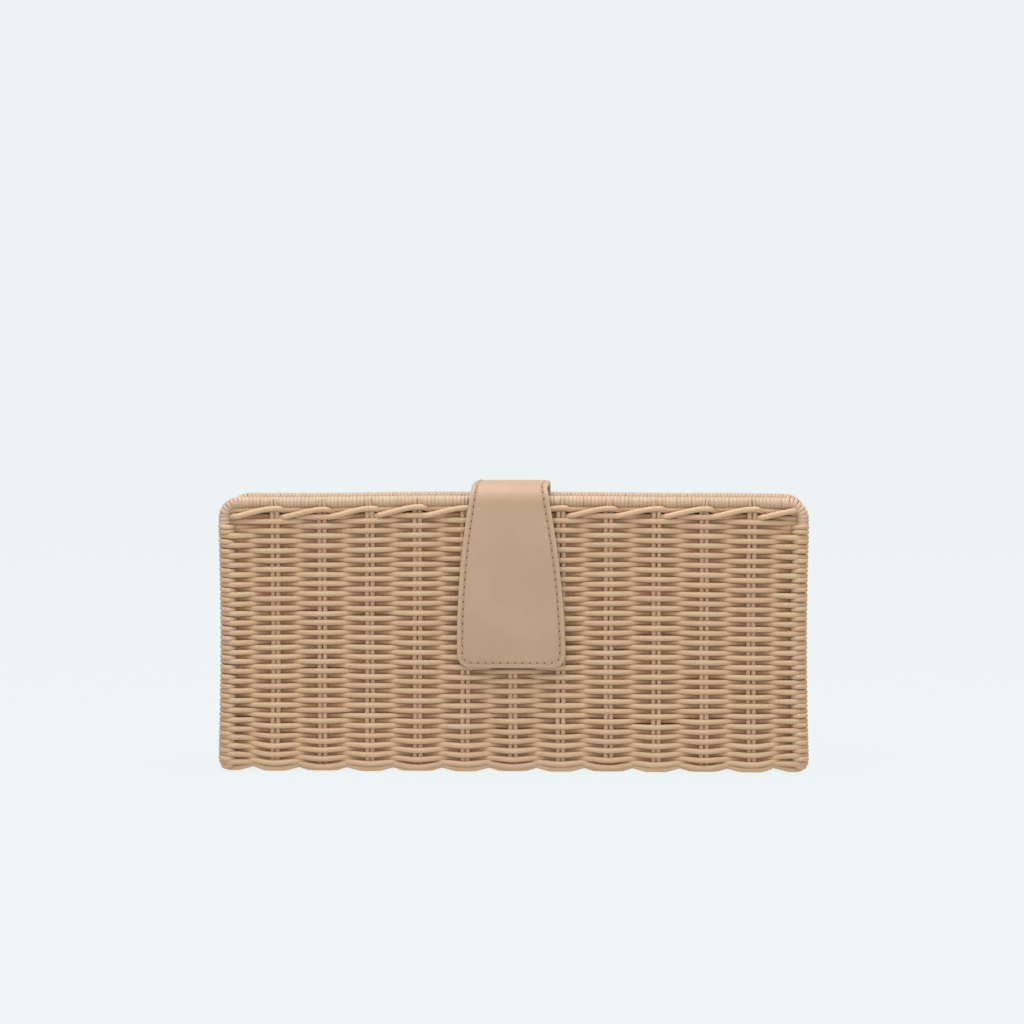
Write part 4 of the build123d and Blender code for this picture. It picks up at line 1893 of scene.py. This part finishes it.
    def plate(self) -> None:
        """Gives the metal pieces their finishes."""
        dressed = {
            "steel": ("flap_magnet", "keeper_disc"),
            "brass": ("left_rivet", "right_rivet", "left_washer", "right_washer"),
        }
        for finish, names in dressed.items():
            for name in names:
                for slot in frame["nodes"][name].material_slots:
                    slot.material = self.finish[finish]


@dataclass
class Studio:
    """A pale floor that curves up all round, soft light, and the camera."""

    tone: Colour = (0.822, 0.870, 0.870)
    paper: Colour = (0.025, 0.025, 0.025)
    room: Colour = (0.93, 0.97, 1.0)
    room_light: float = 0.70
    drop: float = 0.0004
    sensor: float = 36.0
    lens: float = 150.0
    span: float = 0.500
    turn: float = 2.0
    rise: float = 2.5
    aim: tuple[float, float, float] = (-0.0003, -0.030, 0.1275)

    def floor(self) -> None:
        """Makes the floor as one shallow bowl of a single tone."""
        sides = 96
        profile = [(0.5, 0.0), (1.5, 0.0), (3.0, 0.0)]
        for a in np.radians(np.linspace(8, 90, 12)):
            profile.append((3.0 + 2.5 * math.sin(a), 2.5 - 2.5 * math.cos(a)))
        profile.append((5.5, 4.5))
        verts = [(0.0, 0.0, -self.drop)]
        for radius, height in profile:
            for angle in (2 * math.pi * i / sides for i in range(sides)):
                across, along = radius * math.cos(angle), radius * math.sin(angle)
                verts.append((across, along, height - self.drop))
        faces = [(0, 1 + i, 1 + (i + 1) % sides) for i in range(sides)]
        for ring in range(len(profile) - 1):
            faces += band(1 + ring * sides, 1 + (ring + 1) * sides, sides)
        floor = solid("studio_floor", verts, faces)
        surface = Surface("studio_paper", Roughness=1.0, Specular_IOR_Level=0.0)
        surface.set(Base_Color=self.paper, Emission_Color=self.tone, Emission_Strength=1.0)
        surface.material.cycles.emission_sampling = "NONE"
        floor.data.materials.append(surface.material)
        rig.stage(floor)

    def light(self) -> None:
        """Hangs the soft lights and sets the even light of the room."""
        world = bpy.data.worlds.new("studio_room")
        world.use_nodes = True
        background = world.node_tree.nodes["Background"]
        background.inputs[0].default_value = (*self.room, 1.0)
        background.inputs[1].default_value = self.room_light
        bpy.context.scene.world = world
        lamps = (
            ("key", (-0.7, -1.4, 2.2), 1.4, 22.0, (1.0, 0.98, 0.95)),
            ("front", (0.4, -3.0, 0.35), 2.0, 32.0, (1.0, 1.0, 1.0)),
            ("top", (0.1, -0.1, 2.4), 1.2, 48.0, (1.0, 1.0, 1.0)),
        )
        for name, place, size, power, tint in lamps:
            lamp = bpy.data.lights.new(name, "AREA")
            lamp.energy, lamp.size, lamp.color = power, size, tint
            holder = link(name, lamp)
            holder.location = place
            aim = Vector((0.0, 0.0, 0.07)) - Vector(place)
            holder.rotation_euler = aim.to_track_quat("-Z", "Y").to_euler()

    def camera(self) -> None:
        """Stands the camera in front of the bag and a little above it."""
        data = bpy.data.cameras.new("camera")
        data.lens, data.sensor_width = self.lens, self.sensor
        data.clip_start, data.clip_end = 0.05, 50.0
        holder = link("camera", data)
        turn, rise = math.radians(self.turn), math.radians(self.rise)
        flat = math.cos(rise)
        back = Vector((math.sin(turn) * flat, -math.cos(turn) * flat, math.sin(rise)))
        holder.location = Vector(self.aim) + back * (self.span * self.lens / self.sensor)
        holder.rotation_euler = (-back).to_track_quat("-Z", "Y").to_euler()
        bpy.context.scene.camera = holder

    def build(self) -> None:
        """Sets up the whole studio."""
        self.floor()
        self.light()
        self.camera()
        view = bpy.context.scene.view_settings
        view.view_transform, view.look = "Standard", "None"


def main() -> None:
    """Builds the bag and its studio."""
    logging.basicConfig(level=logging.INFO, format="%(message)s")
    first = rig.bounds()
    Studio().build()
    bag = Bag()
    bag.weave()
    bag.bind()
    bag.line()
    bag.close()
    bag.plate()
    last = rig.bounds()
    with open("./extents.json", "w", encoding="utf-8") as report:
        json.dump({"cad": [list(v) for v in first], "visual": [list(v) for v in last]}, report)


if __name__ == "__main__":
    main()
